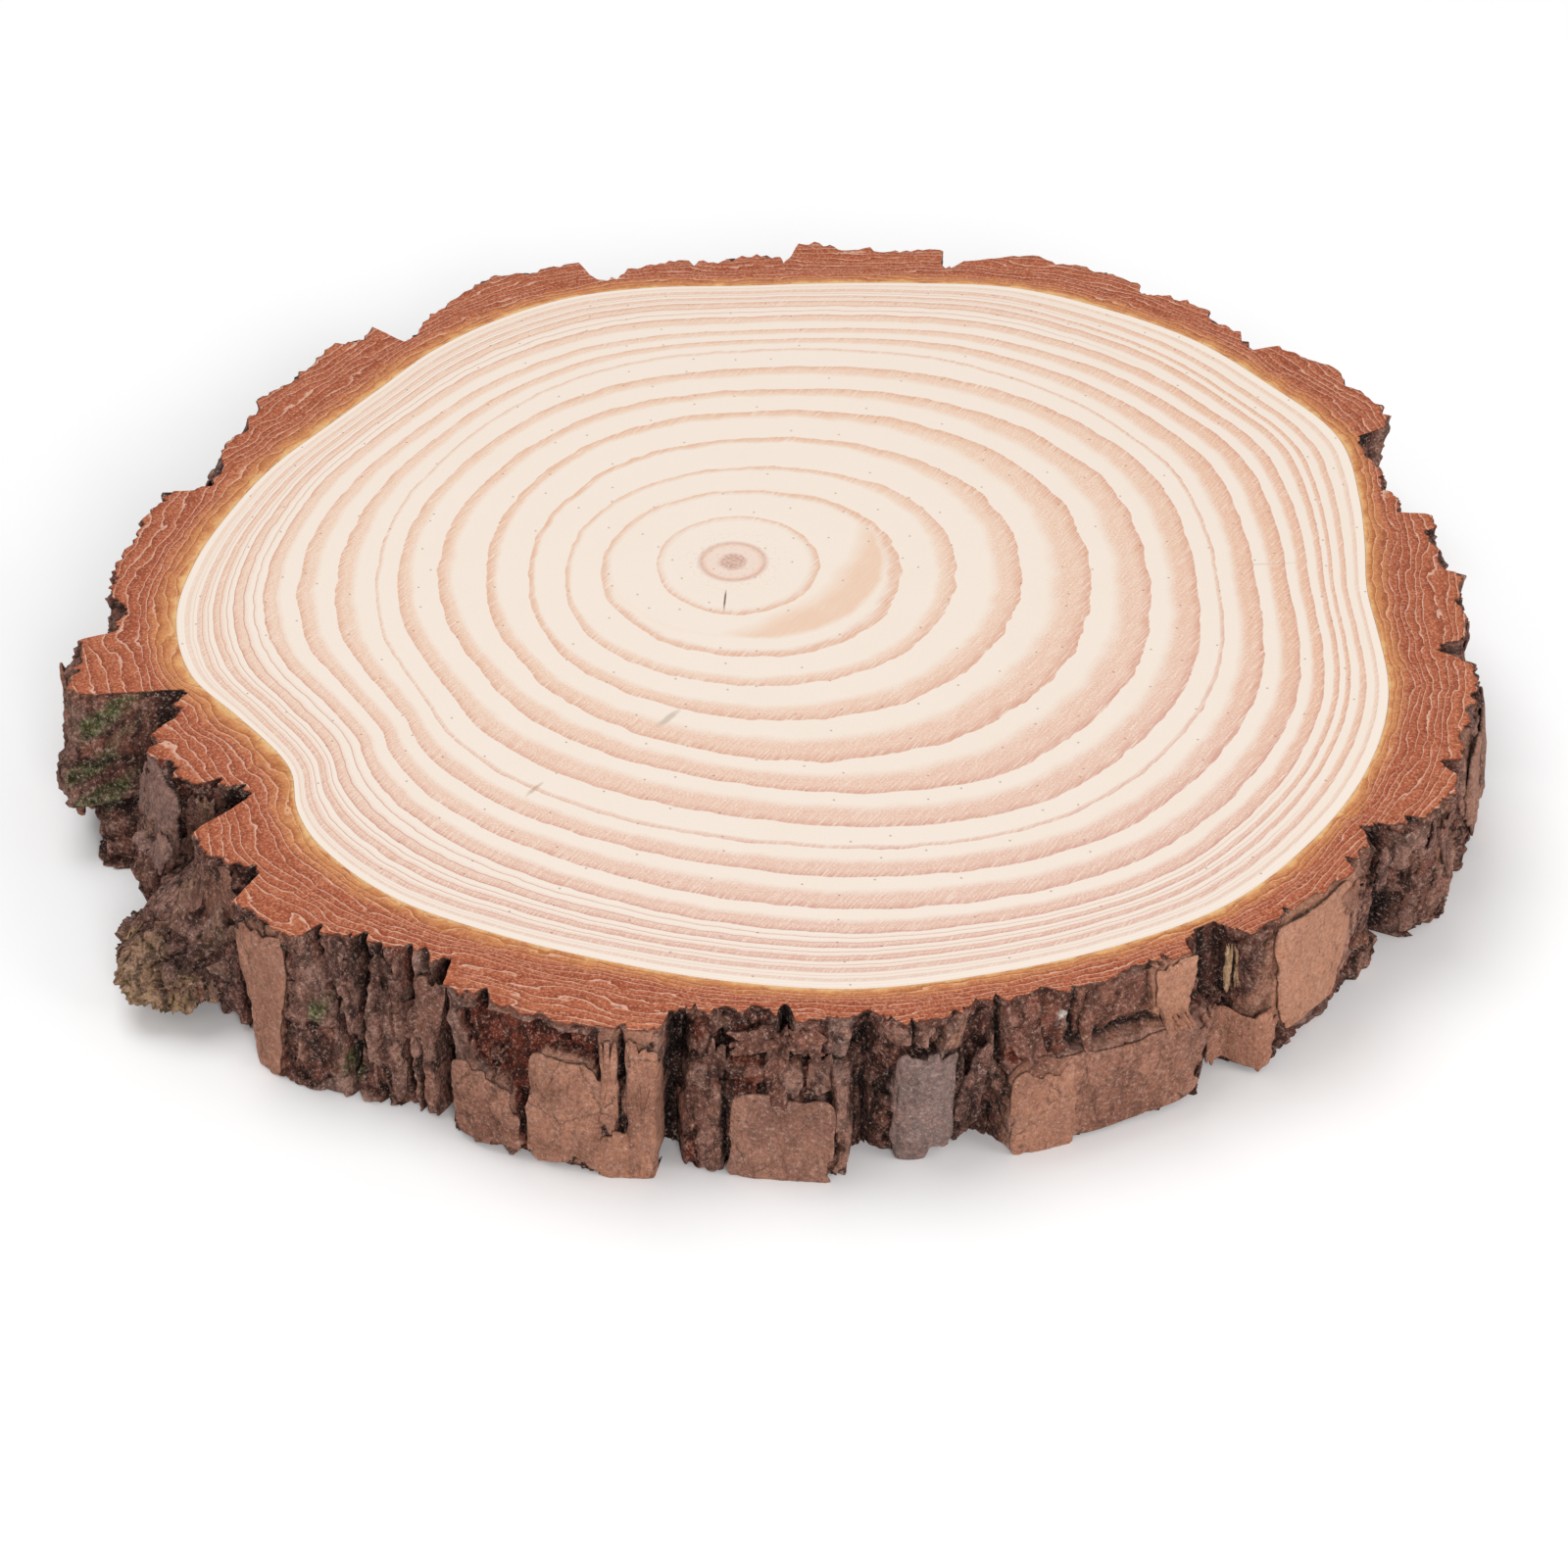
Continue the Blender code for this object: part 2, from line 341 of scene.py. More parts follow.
def span(value, low, high, top=1.0):
    """A value mapped from low..high to 0..top, and held there outside."""
    return add(tree, "ShaderNodeMapRange",
               {"Value": value, "From Min": low, "From Max": high, "To Max": top})


def calc(operation, first, second, third=0.0):
    return add(tree, "ShaderNodeMath", {0: first, 1: second, 2: third}, operation=operation)


def combine(operation, first, second=(0.0, 0.0, 0.0)):
    return add(tree, "ShaderNodeVectorMath", {0: first, 1: second}, operation=operation)


def scaled(vector, factors):
    return combine("MULTIPLY", vector, factors)


def dot(first, second):
    return combine("DOT_PRODUCT", first, second).outputs["Value"]


def length_of(vector):
    return combine("LENGTH", vector).outputs["Value"]


def turned_by(vector, degrees):
    return add(tree, "ShaderNodeMapping", {"Vector": vector,
                                           "Rotation": (0, 0, -math.radians(degrees))})


def mm_from_pith(up):
    """Coordinates in mm from the pith, the upward one times a factor."""
    spot = add(tree, "ShaderNodeTexCoord").outputs["Object"]
    from_pith = combine("SUBTRACT", spot, (PITH[0] * MM, PITH[1] * MM, 0.0))
    return scaled(from_pith, (1 / MM, 1 / MM, up / MM))


def grain_of(size, detail=3.0, roughness=0.6, space=None):
    """Noise with grains of a size in mm."""
    return add(tree, "ShaderNodeTexNoise", {"Vector": space or in_mm, "Scale": 1 / size,
                                            "Detail": detail, "Roughness": roughness})


def look(name):
    """A number kept on the mesh's points."""
    return add(tree, "ShaderNodeAttribute", attribute_name=name).outputs["Fac"]


in_mm = mm_from_pith(0.0)
radius = length_of(in_mm)
heading = combine("NORMALIZE", in_mm)
along_strokes = turned_by(in_mm, STROKE_ANGLE)
strokes = grain_of(1.0, 2.0, 0.6, scaled(along_strokes, (1 / STROKE_LENGTH, 1 / STROKE_WIDTH, 1.0)))
drift = grain_of(14.0)
wobble = grain_of(4.5, 2.0)
ragged = grain_of(1.4)
age = look("age")
shift = calc("MULTIPLY_ADD", wobble, 0.22, calc("MULTIPLY_ADD", ragged, 0.04, -0.13))
shift = calc("MULTIPLY_ADD", strokes, 0.012, calc("SUBTRACT", shift, 0.006))
drifted = calc("ADD", age, calc("MULTIPLY", shift, span(age, 0.5, 3.0)))
season = calc("FRACT", drifted, 0.0)

# Latewood sets in softly, keeps its colour, and ends in a thin dark line.
late_start = calc("MULTIPLY_ADD", look("late"), -1.12, 1.0)
late_full = calc("MULTIPLY_ADD", look("late"), 0.45, calc("ADD", late_start, 0.04))
late = add(tree, "ShaderNodeMapRange",
           {"Value": season, "From Min": late_start, "From Max": late_full},
           interpolation_type="SMOOTHSTEP")
late = calc("MULTIPLY", late, look("tone"))
last_cells = calc("MULTIPLY", span(season, 0.80, 0.97), look("tone"))

# Thin false rings crowd the outer wood, but for the right side.
FALSE_FROM, FALSE_PER_RING = 11.4, 2.9
rightward = dot(in_mm, (1.0, 0.15, 0.0))
false_side = span(rightward, 62.0, 44.0, 0.75)
false_age = calc("MULTIPLY_ADD", drifted, FALSE_PER_RING, calc("MULTIPLY", drift, 0.5))
false_part = calc("FRACT", false_age, 0.0)
false_here = calc("MULTIPLY", false_side, span(age, FALSE_FROM, FALSE_FROM + 1.0))
false_late = calc("MULTIPLY", span(false_part, 0.55, 0.95, 0.75), false_here)
late = calc("MAXIMUM", late, false_late)

BROAD_WAY = math.radians(BROAD_SIDE - 25.0)
toward_broad = dot(in_mm, (math.cos(BROAD_WAY), math.sin(BROAD_WAY), 0.0))
pinkness = calc("MULTIPLY_ADD", span(toward_broad, -20.0, 60.0), 0.6, span(radius, 20.0, 70.0, 0.4))
early_colour = blend(drift, "#EDE0D3", "#EBDCCD")
late_colour = blend(pinkness, "#E8C7AB", "#E0BBA9")
late_colour = blend(span(rightward, 48.0, 66.0, 0.7), late_colour, "#E0AE8C")
light_stroke = span(strokes, 0.53, 0.63, 0.75)
late_colour = blend(light_stroke, late_colour, "#EBD4C3")
dark_stroke = span(strokes, 0.46, 0.36, 0.42)
late_colour = blend(dark_stroke, late_colour, blend(pinkness, "#DEB08D", "#D3A18F"))
grain = blend(late, early_colour, late_colour)
cell_walls = grain_of(0.24, 2.0, 0.7)
pale_here = calc("MULTIPLY_ADD", late, 0.8, 0.2)
pale_cells = calc("MULTIPLY", span(cell_walls, 0.52, 0.66, 0.45), pale_here)
dark_here = calc("MULTIPLY_ADD", late, 0.85, 0.15)
dark_cells = calc("MULTIPLY", span(cell_walls, 0.48, 0.34, 0.35), dark_here)
grain = blend(dark_cells, blend(pale_cells, grain, "#FBEFE4"), "#C99A84")
edge_colour = blend(pinkness, "#D59974", "#C89081")
edge_share = calc("MULTIPLY", last_cells, span(strokes, 0.62, 0.45, 0.75))
grain = blend(edge_share, grain, edge_colour)
outer_lines = calc("MULTIPLY", span(false_part, 0.84, 0.93), span(false_part, 1.0, 0.985))
outer_lines = calc("MULTIPLY", outer_lines,
                   calc("MULTIPLY", false_side, span(age, FALSE_FROM, FALSE_FROM + 1.2)))
grain = blend(outer_lines, grain, "#C28C7C")

# The wood just under the bark is almost white.
grain = blend(span(drifted, 14.9, 15.2, 0.4), grain, "#EDDFD0")
grain = blend(span(drifted, 16.0, 16.25, 0.55), grain, "#F0E4D7")

# A crescent of orange wood lies to the lower right of the heart, and tapers to both ends.
CRESCENT_WAY = -0.56
to_crescent = (math.cos(CRESCENT_WAY), math.sin(CRESCENT_WAY), 0.0)
crescent_turn = span(dot(heading, to_crescent), 0.45, 0.93)
lean_right = calc("MAXIMUM", dot(heading, (1.0, 0.0, 0.0)), 0.0)
crescent_reach = calc("MULTIPLY_ADD", wobble, 1.6, calc("MULTIPLY_ADD", lean_right, -3.0, radius))
crescent_in = span(calc("MULTIPLY_ADD", crescent_turn, 5.6, crescent_reach), 15.8, 18.6)
crescent = calc("MULTIPLY", crescent_in, span(crescent_reach, 16.8, 15.9, 0.8))
grain = blend(crescent, grain, blend(light_stroke, "#E4BEA2", "#E8CDB6"))

# Resin canals, thickest about the heart, and the pith with its brown specks.
canal_space = scaled(in_mm, (1 / CANAL_SPACING,) * 3)
canals = add(tree, "ShaderNodeTexVoronoi", {"Vector": canal_space, "Scale": 1.0},
             voronoi_dimensions="2D")
canal_size = CANAL_RADIUS / CANAL_SPACING
canal_dot = span(canals.outputs["Distance"], canal_size, 0.5 * CANAL_RADIUS / CANAL_SPACING)
canal_luck = add(tree, "ShaderNodeSeparateColor", {"Color": canals.outputs["Color"]})
canal_here = calc("GREATER_THAN", canal_luck.outputs[0],
                  calc("ADD", span(radius, 8.0, 16.0, 0.25), 0.3))
grain = blend(calc("MULTIPLY", calc("MULTIPLY", canal_dot, canal_here), 0.6), grain, "#8F5F4A")
heart_specks = grain_of(0.45, 4.0, 0.75)
grain = blend(span(radius, 4.3, 3.3, 0.45), grain, "#E4C4B3")
heart_line = calc("MULTIPLY", span(radius, 4.6, 4.1), span(radius, 3.5, 4.0, 0.42))
grain = blend(heart_line, grain, "#C59282")
heart_colour = blend(span(heart_specks, 0.40, 0.62), "#B08270", "#E5C7B7")
heart_reach = calc("MULTIPLY_ADD", ragged, 1.1, radius)
heart_mask = span(heart_reach, PITH_RADIUS + 0.85, PITH_RADIUS + 0.25, 0.85)
grain = blend(heart_mask, grain, heart_colour)
speckled = calc("MULTIPLY", span(heart_specks, 0.56, 0.68), span(radius, 8.0, 3.6, 0.5))
grain = blend(speckled, grain, "#B78370")

# Small marks: middle in mm from the pith, half length, half width, turn, strength, colour. The
# first is a hair crack beside the pith, the others are smears left by sanding.
MARKS = (
    (-0.9, -8.1, 2.3, 0.16, 87.0, 0.9, "#694430"),
    (-7.2, -31.7, 2.2, 0.55, 52.0, 0.55, "#AD9B86"),
    (-22.2, -45.0, 1.6, 0.35, 55.0, 0.5, "#A8876D"),
    (66.0, -0.5, 5.0, 0.2, 4.0, 0.3, "#C9A48E"),
)
for x, y, half_length, half_width, turned, strength, colour in MARKS:
    laid = turned_by(combine("SUBTRACT", in_mm, (x, y, 0.0)), turned)
    distance = length_of(scaled(laid, (1 / half_length, 1 / half_width, 0.0)))
    grain = blend(span(calc("MULTIPLY_ADD", ragged, 0.8, distance), 1.5, 0.9, strength), grain, colour)

shader = tree.nodes["Principled BSDF"]
tree.links.new(grain, shader.inputs["Base Color"])
shader.inputs["Roughness"].default_value = 0.58
shader.inputs["IOR"].default_value = 1.40
sanded = add(tree, "ShaderNodeBump", {"Height": strokes, "Strength": 0.35, "Distance": 0.05 * MM})
tree.links.new(sanded.outputs[0], shader.inputs["Normal"])
wood.data.materials.append(pine)
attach(wood, "root")
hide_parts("wood")


# The bark: a closed ring of corky plates, grown in thin layers and torn apart by deep fissures as
# the trunk swelled. The saw cut it straight above and below; its outer face is as it grew, broken
# in scales, with dark crevices, peeled red patches, and moss low down on the left.
# Each plate: first and last angle, its face's radius where it begins, at its middle and where it
# ends, how much more that is at the foot, the depth of the crack across it and the step there, the
# radius of the floor of the fissure after it, and how many degrees it leans on the way down.
PLATES = (
    (-168.3, -161.0, 80.3, 81.5, 82.6, 3.6, 13.0, -4.5, 71.0, 6.0),
    (-151.9, -144.2, 76.5, 77.2, 75.2, 0.8, 8.5, 3.6, 70.8, 2.0),
    (-142.9, -139.9, 72.4, 71.2, 70.8, 1.0, 8.5, 9.0, 70.4, 1.0),
    (-139.0, -132.8, 79.4, 80.6, 80.2, 1.5, 9.0, 1.2, 76.4, 3.0),
    (-129.8, -123.4, 84.6, 85.0, 84.4, 1.6, 12.0, 0.2, 79.8, 4.5),
    (-122.2, -113.2, 82.9, 81.3, 81.4, 1.9, 8.0, 1.0, 76.0, 1.0),
    (-111.0, -94.7, 84.2, 86.3, 86.0, 0.6, 9.0, 0.5, 79.5, -0.5),
    (-92.2, -81.0, 82.6, 83.6, 85.2, 1.0, 6.0, 2.4, 82.8, -0.6),
    (-78.4, -73.0, 85.7, 87.6, 86.4, -1.4, 4.5, -0.2, 84.8, 0.4),
    (-70.4, -55.4, 86.6, 87.4, 88.4, 0.2, 7.5, 1.8, 86.2, 0.5),
    (-50.6, -40.2, 91.0, 91.2, 90.8, 0.4, 11.0, 0.0, 88.0, 1.0),
    (-39.2, -36.6, 90.2, 90.0, 89.4, -0.8, 7.0, 0.9, 86.4, 3.0),
    (-34.4, -27.0, 92.2, 93.7, 93.4, -0.6, 9.0, 1.0, 89.2, 2.0),
    (-25.0, -13.2, 92.8, 92.0, 90.2, 1.4, 12.0, -0.8, 80.8, 2.0),
    (-10.6, 6.9, 89.5, 88.8, 88.0, 0.6, 10.0, 0.8, 81.8, 0.0),
    (8.2, 18.3, 84.8, 85.3, 86.0, 1.4, 6.0, 1.4, 83.4, 1.0),
    (19.8, 34.7, 90.3, 90.8, 88.0, -0.6, 9.0, 0.9, 81.8, 0.0),
    (36.4, 47.6, 85.4, 86.4, 86.5, 0.8, 13.0, -1.0, 82.0, -1.0),
    (50.4, 66.4, 86.3, 84.8, 78.6, 0.8, 8.0, 1.0, 71.8, -1.0),
    (69.5, 83.8, 79.8, 77.9, 77.5, -0.6, 11.0, 1.2, 70.5, 0.0),
    (85.6, 105.8, 73.2, 72.8, 69.8, 0.8, 7.0, 1.0, 68.2, 1.0),
    (107.1, 130.4, 75.0, 74.0, 67.0, -0.4, 12.0, 1.0, 65.0, 0.0),
    (131.8, 165.4, 72.8, 72.2, 68.8, 0.6, 9.0, 1.0, 67.2, -1.0),
    (168.0, 189.8, 73.8, 75.2, 75.4, 1.6, 7.0, 1.2, 71.0, 1.5),
)
# Smaller fissures in the plates: angle, top and bottom depth, width in degrees, cut in mm, lean.
FISSURES = (
    (-119.3, -1.0, 16.0, 1.1, 4.5, 1.0), (-117.4, -1.0, 12.0, 0.5, 2.4, 1.0),
    (-115.2, -1.0, 18.0, 0.9, 4.6, 0.6), (-113.9, 2.0, 21.0, 0.4, 1.6, 0.5),
    (-107.9, -1.0, 2.2, 1.0, 1.8, 0.0), (-97.3, 1.0, 14.0, 0.7, 1.1, 0.0),
    (-90.2, 2.0, 21.0, 0.5, 1.3, 0.3), (-85.4, -1.0, 3.5, 1.0, 3.0, 0.0),
    (-86.6, 10.0, 15.0, 0.2, 0.6, 0.0), (-82.4, 5.0, 18.0, 0.5, 1.2, 0.0),
    (-76.6, -1.0, 4.0, 0.3, 1.0, 0.0), (-70.2, -1.0, 8.5, 0.6, 2.4, 0.3),
    (-64.8, -1.0, 6.5, 0.4, 1.0, 0.4), (-61.4, 8.5, 19.0, 0.25, 0.7, 0.5),
    (-53.2, -1.0, 21.0, 0.8, 2.2, 0.0), (-42.9, 1.6, 4.6, 0.5, 1.1, 0.0),
    (-39.9, 2.0, 13.0, 0.5, 1.6, 1.0), (-33.2, 4.0, 21.0, 0.9, 2.6, 1.0),
    (-30.0, -1.0, 7.0, 0.5, 1.2, 1.0), (-20.5, 2.0, 16.0, 0.6, 1.6, 0.0),
    (-17.2, -1.0, 9.0, 0.4, 1.4, 1.0), (-4.6, 5.0, 21.0, 0.6, 1.4, 0.0),
    (4.5, -1.0, 12.0, 1.0, 2.6, 0.0), (13.4, 2.0, 20.0, 0.6, 1.4, 1.0),
    (26.0, 6.0, 21.0, 0.6, 1.6, 0.0), (42.2, -1.0, 9.0, 0.5, 1.6, 0.0),
    (58.5, -1.0, 14.0, 0.6, 2.0, 0.0), (77.0, 4.0, 21.0, 0.6, 1.6, 0.0),
    (94.8, -1.0, 12.0, 0.8, 1.8, 0.0), (99.6, 3.0, 21.0, 0.6, 1.4, 1.0),
    (115.4, -1.0, 10.0, 0.5, 1.4, 0.0), (123.0, 4.0, 21.0, 0.8, 1.8, -1.0),
    (140.6, -1.0, 13.0, 0.7, 1.6, 0.0), (149.0, 3.0, 21.0, 0.8, 2.0, 0.0),
    (158.2, -1.0, 15.0, 0.6, 1.6, 1.0), (175.0, 2.0, 21.0, 0.7, 1.8, 0.0),
    (183.5, -1.0, 12.0, 0.6, 1.8, 1.0),
)
# Scales on the plates' faces: first and last angle, top and bottom depth, how far each stands out,
# how much it narrows downwards, then how smooth, warm, grey and peeled it is.
SCALES = (
    (-129.6, -124.2, 1.2, 22.0, 0.5, 0.25, 1.0, 0.5, 0.0, 0.0),
    (-124.6, -120.3, 4.0, 11.5, 0.6, 0.2, 0.3, 0.1, 0.2, 0.0),
    (-118.6, -115.8, 0.5, 15.0, 0.5, 0.0, 0.2, 0.1, 0.1, 0.0),
    (-114.9, -111.4, 1.5, 12.0, 0.5, 0.1, 0.35, 0.2, 0.1, 0.0),
    (-114.0, -110.0, 13.5, 22.0, 0.5, 0.1, 0.3, 0.3, 0.0, 0.2),
    (-109.4, -98.6, 0.9, 9.5, -1.0, 0.1, 0.1, 0.0, 0.0, 1.0),
    (-105.4, -103.8, 6.0, 22.0, -0.9, 0.0, 0.1, 0.0, 0.0, 1.0),
    (-110.6, -105.2, 9.3, 19.5, 0.3, -0.1, 0.7, 0.25, 0.0, 0.0),
    (-104.0, -98.9, 4.8, 19.6, 0.2, -0.1, 0.9, 0.5, 0.0, 0.0),
    (-98.9, -97.6, 1.6, 14.0, 0.2, 0.0, 0.9, 0.4, 0.0, 0.0),
    (-97.0, -94.6, 0.4, 22.0, 0.35, 0.0, 0.9, 0.4, 0.0, 0.0),
    (-99.2, -95.4, 13.8, 22.0, 0.35, -0.2, 0.9, 0.8, 0.0, 0.0),
    (-92.2, -90.2, 4.0, 22.0, 0.3, 0.0, 0.4, 0.1, 0.1, 0.0),
    (-90.6, -83.4, 1.6, 8.6, -0.9, 0.0, 0.0, 0.2, 0.0, 0.8),
    (-86.4, -84.4, 5.2, 8.2, 0.8, 0.3, 0.5, 0.1, 0.1, 0.0),
    (-89.6, -82.7, 9.0, 22.0, 0.4, 0.05, 0.85, 0.3, 0.15, 0.0),
    (-82.6, -80.6, 4.0, 19.0, 0.3, 0.1, 0.4, 0.2, 0.0, 0.0),
    (-77.9, -73.4, 3.8, 19.4, 0.9, 0.0, 0.8, 0.0, 1.0, 0.0),
    (-79.0, -75.0, 0.3, 3.6, 0.4, 0.0, 0.4, 0.2, 0.1, 0.1),
    (-74.6, -70.9, 0.3, 5.6, 0.5, 0.1, 0.5, 0.3, 0.1, 0.0),
    (-73.4, -70.8, 7.0, 19.6, 0.3, 0.0, 0.0, 0.0, 0.3, 0.0),
    (-69.9, -64.9, 0.6, 8.2, 0.5, 0.35, 0.3, 0.1, 0.0, 0.45),
    (-64.6, -58.6, 0.5, 6.2, 0.4, 0.0, 0.4, 0.1, 0.0, 0.15),
    (-58.8, -55.2, 0.3, 9.2, 0.9, 0.45, 1.0, 1.0, 0.0, 0.0),
    (-69.9, -54.2, 7.9, 19.2, 0.5, 0.12, 0.75, 0.3, 0.0, 0.0),
    (-69.7, -65.0, 8.3, 21.5, 0.75, 0.0, 1.0, 0.55, 0.0, 0.0),
    (-55.2, -53.5, 0.2, 8.4, -0.6, 0.2, 0.3, 0.0, 0.0, 0.2),
    (-52.7, -48.6, 11.0, 19.2, 0.9, 0.2, 1.0, 0.8, 0.0, 0.2),
    (-50.3, -38.4, 0.4, 14.6, 0.3, 0.0, 0.6, 0.4, 0.0, 0.0),
    (-49.6, -40.4, -1.0, 15.6, 0.6, 0.25, 1.0, 1.0, 0.0, 0.0),
    (-42.4, -39.7, 1.0, 5.2, 0.8, 0.1, 0.8, 0.4, 0.0, 0.0),
    (-35.3, -31.9, 0.8, 6.4, 0.8, 0.5, 0.4, 0.1, 0.2, 0.0),
    (-30.6, -27.6, 5.0, 17.0, 0.7, 0.1, 0.5, 0.3, 0.1, 0.0),
    (-24.4, -20.8, 0.5, 12.0, 0.7, 0.1, 0.8, 0.5, 0.2, 0.0),
    (-19.8, -14.2, 2.0, 20.0, 0.8, 0.0, 0.7, 0.3, 0.3, 0.0),
    (-151.4, -144.8, 0.8, 9.0, 0.5, 0.1, 0.6, 0.0, 0.6, 0.0),
    (-138.2, -134.6, 1.5, 11.0, 0.4, 0.2, 0.2, 0.0, 0.1, 0.0),
    (-166.0, -161.6, 1.0, 12.0, 0.4, 0.0, 0.5, 0.1, 0.2, 0.2),
)
# Patches of moss: angle and half width in degrees, depth and half height in mm.
MOSS = (
    (-159.1, 0.5, 3.4, 3.2), (-158.05, 0.5, 7.4, 4.0), (-156.85, 0.5, 11.5, 4.2),
    (-119.2, 1.1, 16.2, 2.3), (-121.7, 0.5, 9.0, 2.2), (-142.6, 1.6, 6.0, 2.5),
)
LICHEN = ((-67.9, 1.0, 5.2, 1.2), (-65.4, 0.7, 3.4, 2.0))
# The swelling of bark round the dead branch.
KNOT_ANGLE, KNOT_DEPTH, KNOT_CENTRE, KNOT_RADIUS = -138.5, 13.6, 82.4, 7.4
KNOT_SINK = 1.8
# Radius at which widths in mm on the bark are turned into degrees.
FACE_CIRCLE = 86.0
BARK_COLUMNS, FACE_ROWS = 1400, 60
FRONT_DENSITY, FISSURE_DENSITY = 2.3, 2.2
LAYER = 0.85
THINNEST_BARK = 1.4
NARROW_GAP = 4.0
PLATE_STEPS = 25


def plate_tables():
    """What the plates say at each angle round the trunk, finely enough to interpolate. In a fissure
    all values pass over from one plate to the next."""
    rows = []
    for number, plate in enumerate(PLATES):
        first, last, begin, middle, end, foot, crack, step, floor, lean = plate
        last_lean = PLATES[number - 1][-1]
        after = PLATES[(number + 1) % len(PLATES)]
        next_first, _, next_begin, _, _, next_foot, next_crack, next_step, _, _ = after
        gap = next_first + (360.0 if number == len(PLATES) - 1 else 0.0) - last
        for share in np.linspace(0.0, 1.0, PLATE_STEPS):
            face = (begin * (1 - share) * (1 - 2 * share) + 4 * middle * share * (1 - share)
                    + end * share * (2 * share - 1))
            rows.append((first + (last - first) * share, face, foot, crack, step,
                         last_lean + (lean - last_lean) * share, 0.0, 0.0))
        for share in np.linspace(0.02, 0.98, PLATE_STEPS):
            face = end + (next_begin - end) * share
            shut = smooth(0.0, 0.36, min(share, 1.0 - share))
            rows.append((last + gap * share, face + (floor - face) * shut,
                         foot + (next_foot - foot) * share, crack + (next_crack - crack) * share,
                         step + (next_step - step) * share, lean, min(1.0, 1.3 * shut),
                         (face - floor) * shut * (gap < NARROW_GAP)))
    return np.array(rows).T


LAYER_THICKNESS = ((-180.0, 1.7), (-135.0, 1.6), (-110.0, 1.05), (-30.0, 1.0), (0.0, 1.3), (90.0, 1.1))
TABLE = plate_tables()
TABLE = np.vstack([TABLE, 1.0 / round_curve(LAYER_THICKNESS, TABLE[0])])
# The rows of the table, after that of the angles: the face's radius and how much more it has at the
# foot, the depth of the crack across it and the step there, the lean, how deep in a fissure the
# angle is, how much of that fissure shuts at the saw cuts, and how closely the layers are packed.
FACE, FOOT, CRACK, STEP, LEAN, WALL, SHUT, PACKED = range(1, 9)


def plate_value(which, angle):
    return np.interp(angle, TABLE[0], TABLE[which], period=360.0)


def arc_of(degrees):
    """Length in mm on the bark's face of an angle in degrees."""
    return degrees * math.pi / 180.0 * FACE_CIRCLE


def knot_distance(angle, depth):
    """Distance in mm along the bark from the shaded ground just above the knot."""
    aside = np.radians(angle - KNOT_ANGLE) * KNOT_CENTRE
    return np.hypot(aside, depth - KNOT_DEPTH + 3.0)


# Rows of scales after which the mosaic repeats, and the random numbers that each scale has.
CELL_LINES, CELL_NUMBERS = 16, 8


def cells(angle, depth, wide, tall, seed):
    """Mosaic of scales, each with its own height and slope. Returns how near its edge each point is,
    the facet's height from about -1 to 1, and three random numbers of the scale."""
    period = round(GIRTH / wide)
    x, y = angle / 360.0 * period, depth / tall
    jitter = np.random.default_rng(seed).uniform(0.1, 0.9, (period, CELL_LINES, CELL_NUMBERS))
    nearest, second = np.full(x.shape, 9.0), np.full(x.shape, 9.0)
    picked = np.zeros(x.shape + (CELL_NUMBERS,))
    column, line = np.floor(x).astype(int), np.floor(y).astype(int)
    for i in (-1, 0, 1):
        for j in (-1, 0, 1):
            seeds = jitter[(column + i) % period, (line + j) % CELL_LINES] + 0.0
            seeds[..., 0] += column + i - x
            seeds[..., 1] += line + j - y
            far = np.hypot(seeds[..., 0], seeds[..., 1])
            closer = far < nearest
            second = np.where(closer, nearest, np.minimum(second, far))
            picked = np.where(closer[..., None], seeds, picked)
            nearest = np.where(closer, far, nearest)
    spread = (picked[..., 2:] - 0.5) / 0.4
    facet = (spread[..., 3] + 1.3 * spread[..., 4] * picked[..., 0]
             + 0.9 * (spread[..., 5] + 0.6) * picked[..., 1])
    return second - nearest, facet, 0.5 + 0.5 * spread[..., :3]


def blur(heights, reach):
    """Average over a window, round the trunk and up its face."""
    around = sum(np.roll(heights, k, axis=1) for k in range(-reach, reach + 1)) / (2 * reach + 1)
    padded = np.pad(around, ((reach, reach), (0, 0)), mode="edge")
    return sum(padded[k:k + len(heights)] for k in range(2 * reach + 1)) / (2 * reach + 1)


def plate_radius(angle, depth):
    """Radius of the plates' broken faces before their relief, and the depth past their cracks."""
    crack = plate_value(CRACK, angle) + 1.2 * rough(angle, depth, 7.0, 30.0, 41, 3)
    step = plate_value(STEP, angle) * smooth(-0.3, 0.3, depth - crack)
    shut = 0.62 * smooth(3.4, 0.0, depth) * plate_value(SHUT, angle)
    radius = plate_value(FACE, angle) + plate_value(FOOT, angle) * depth / THICKNESS + step + shut
    return radius, depth - crack


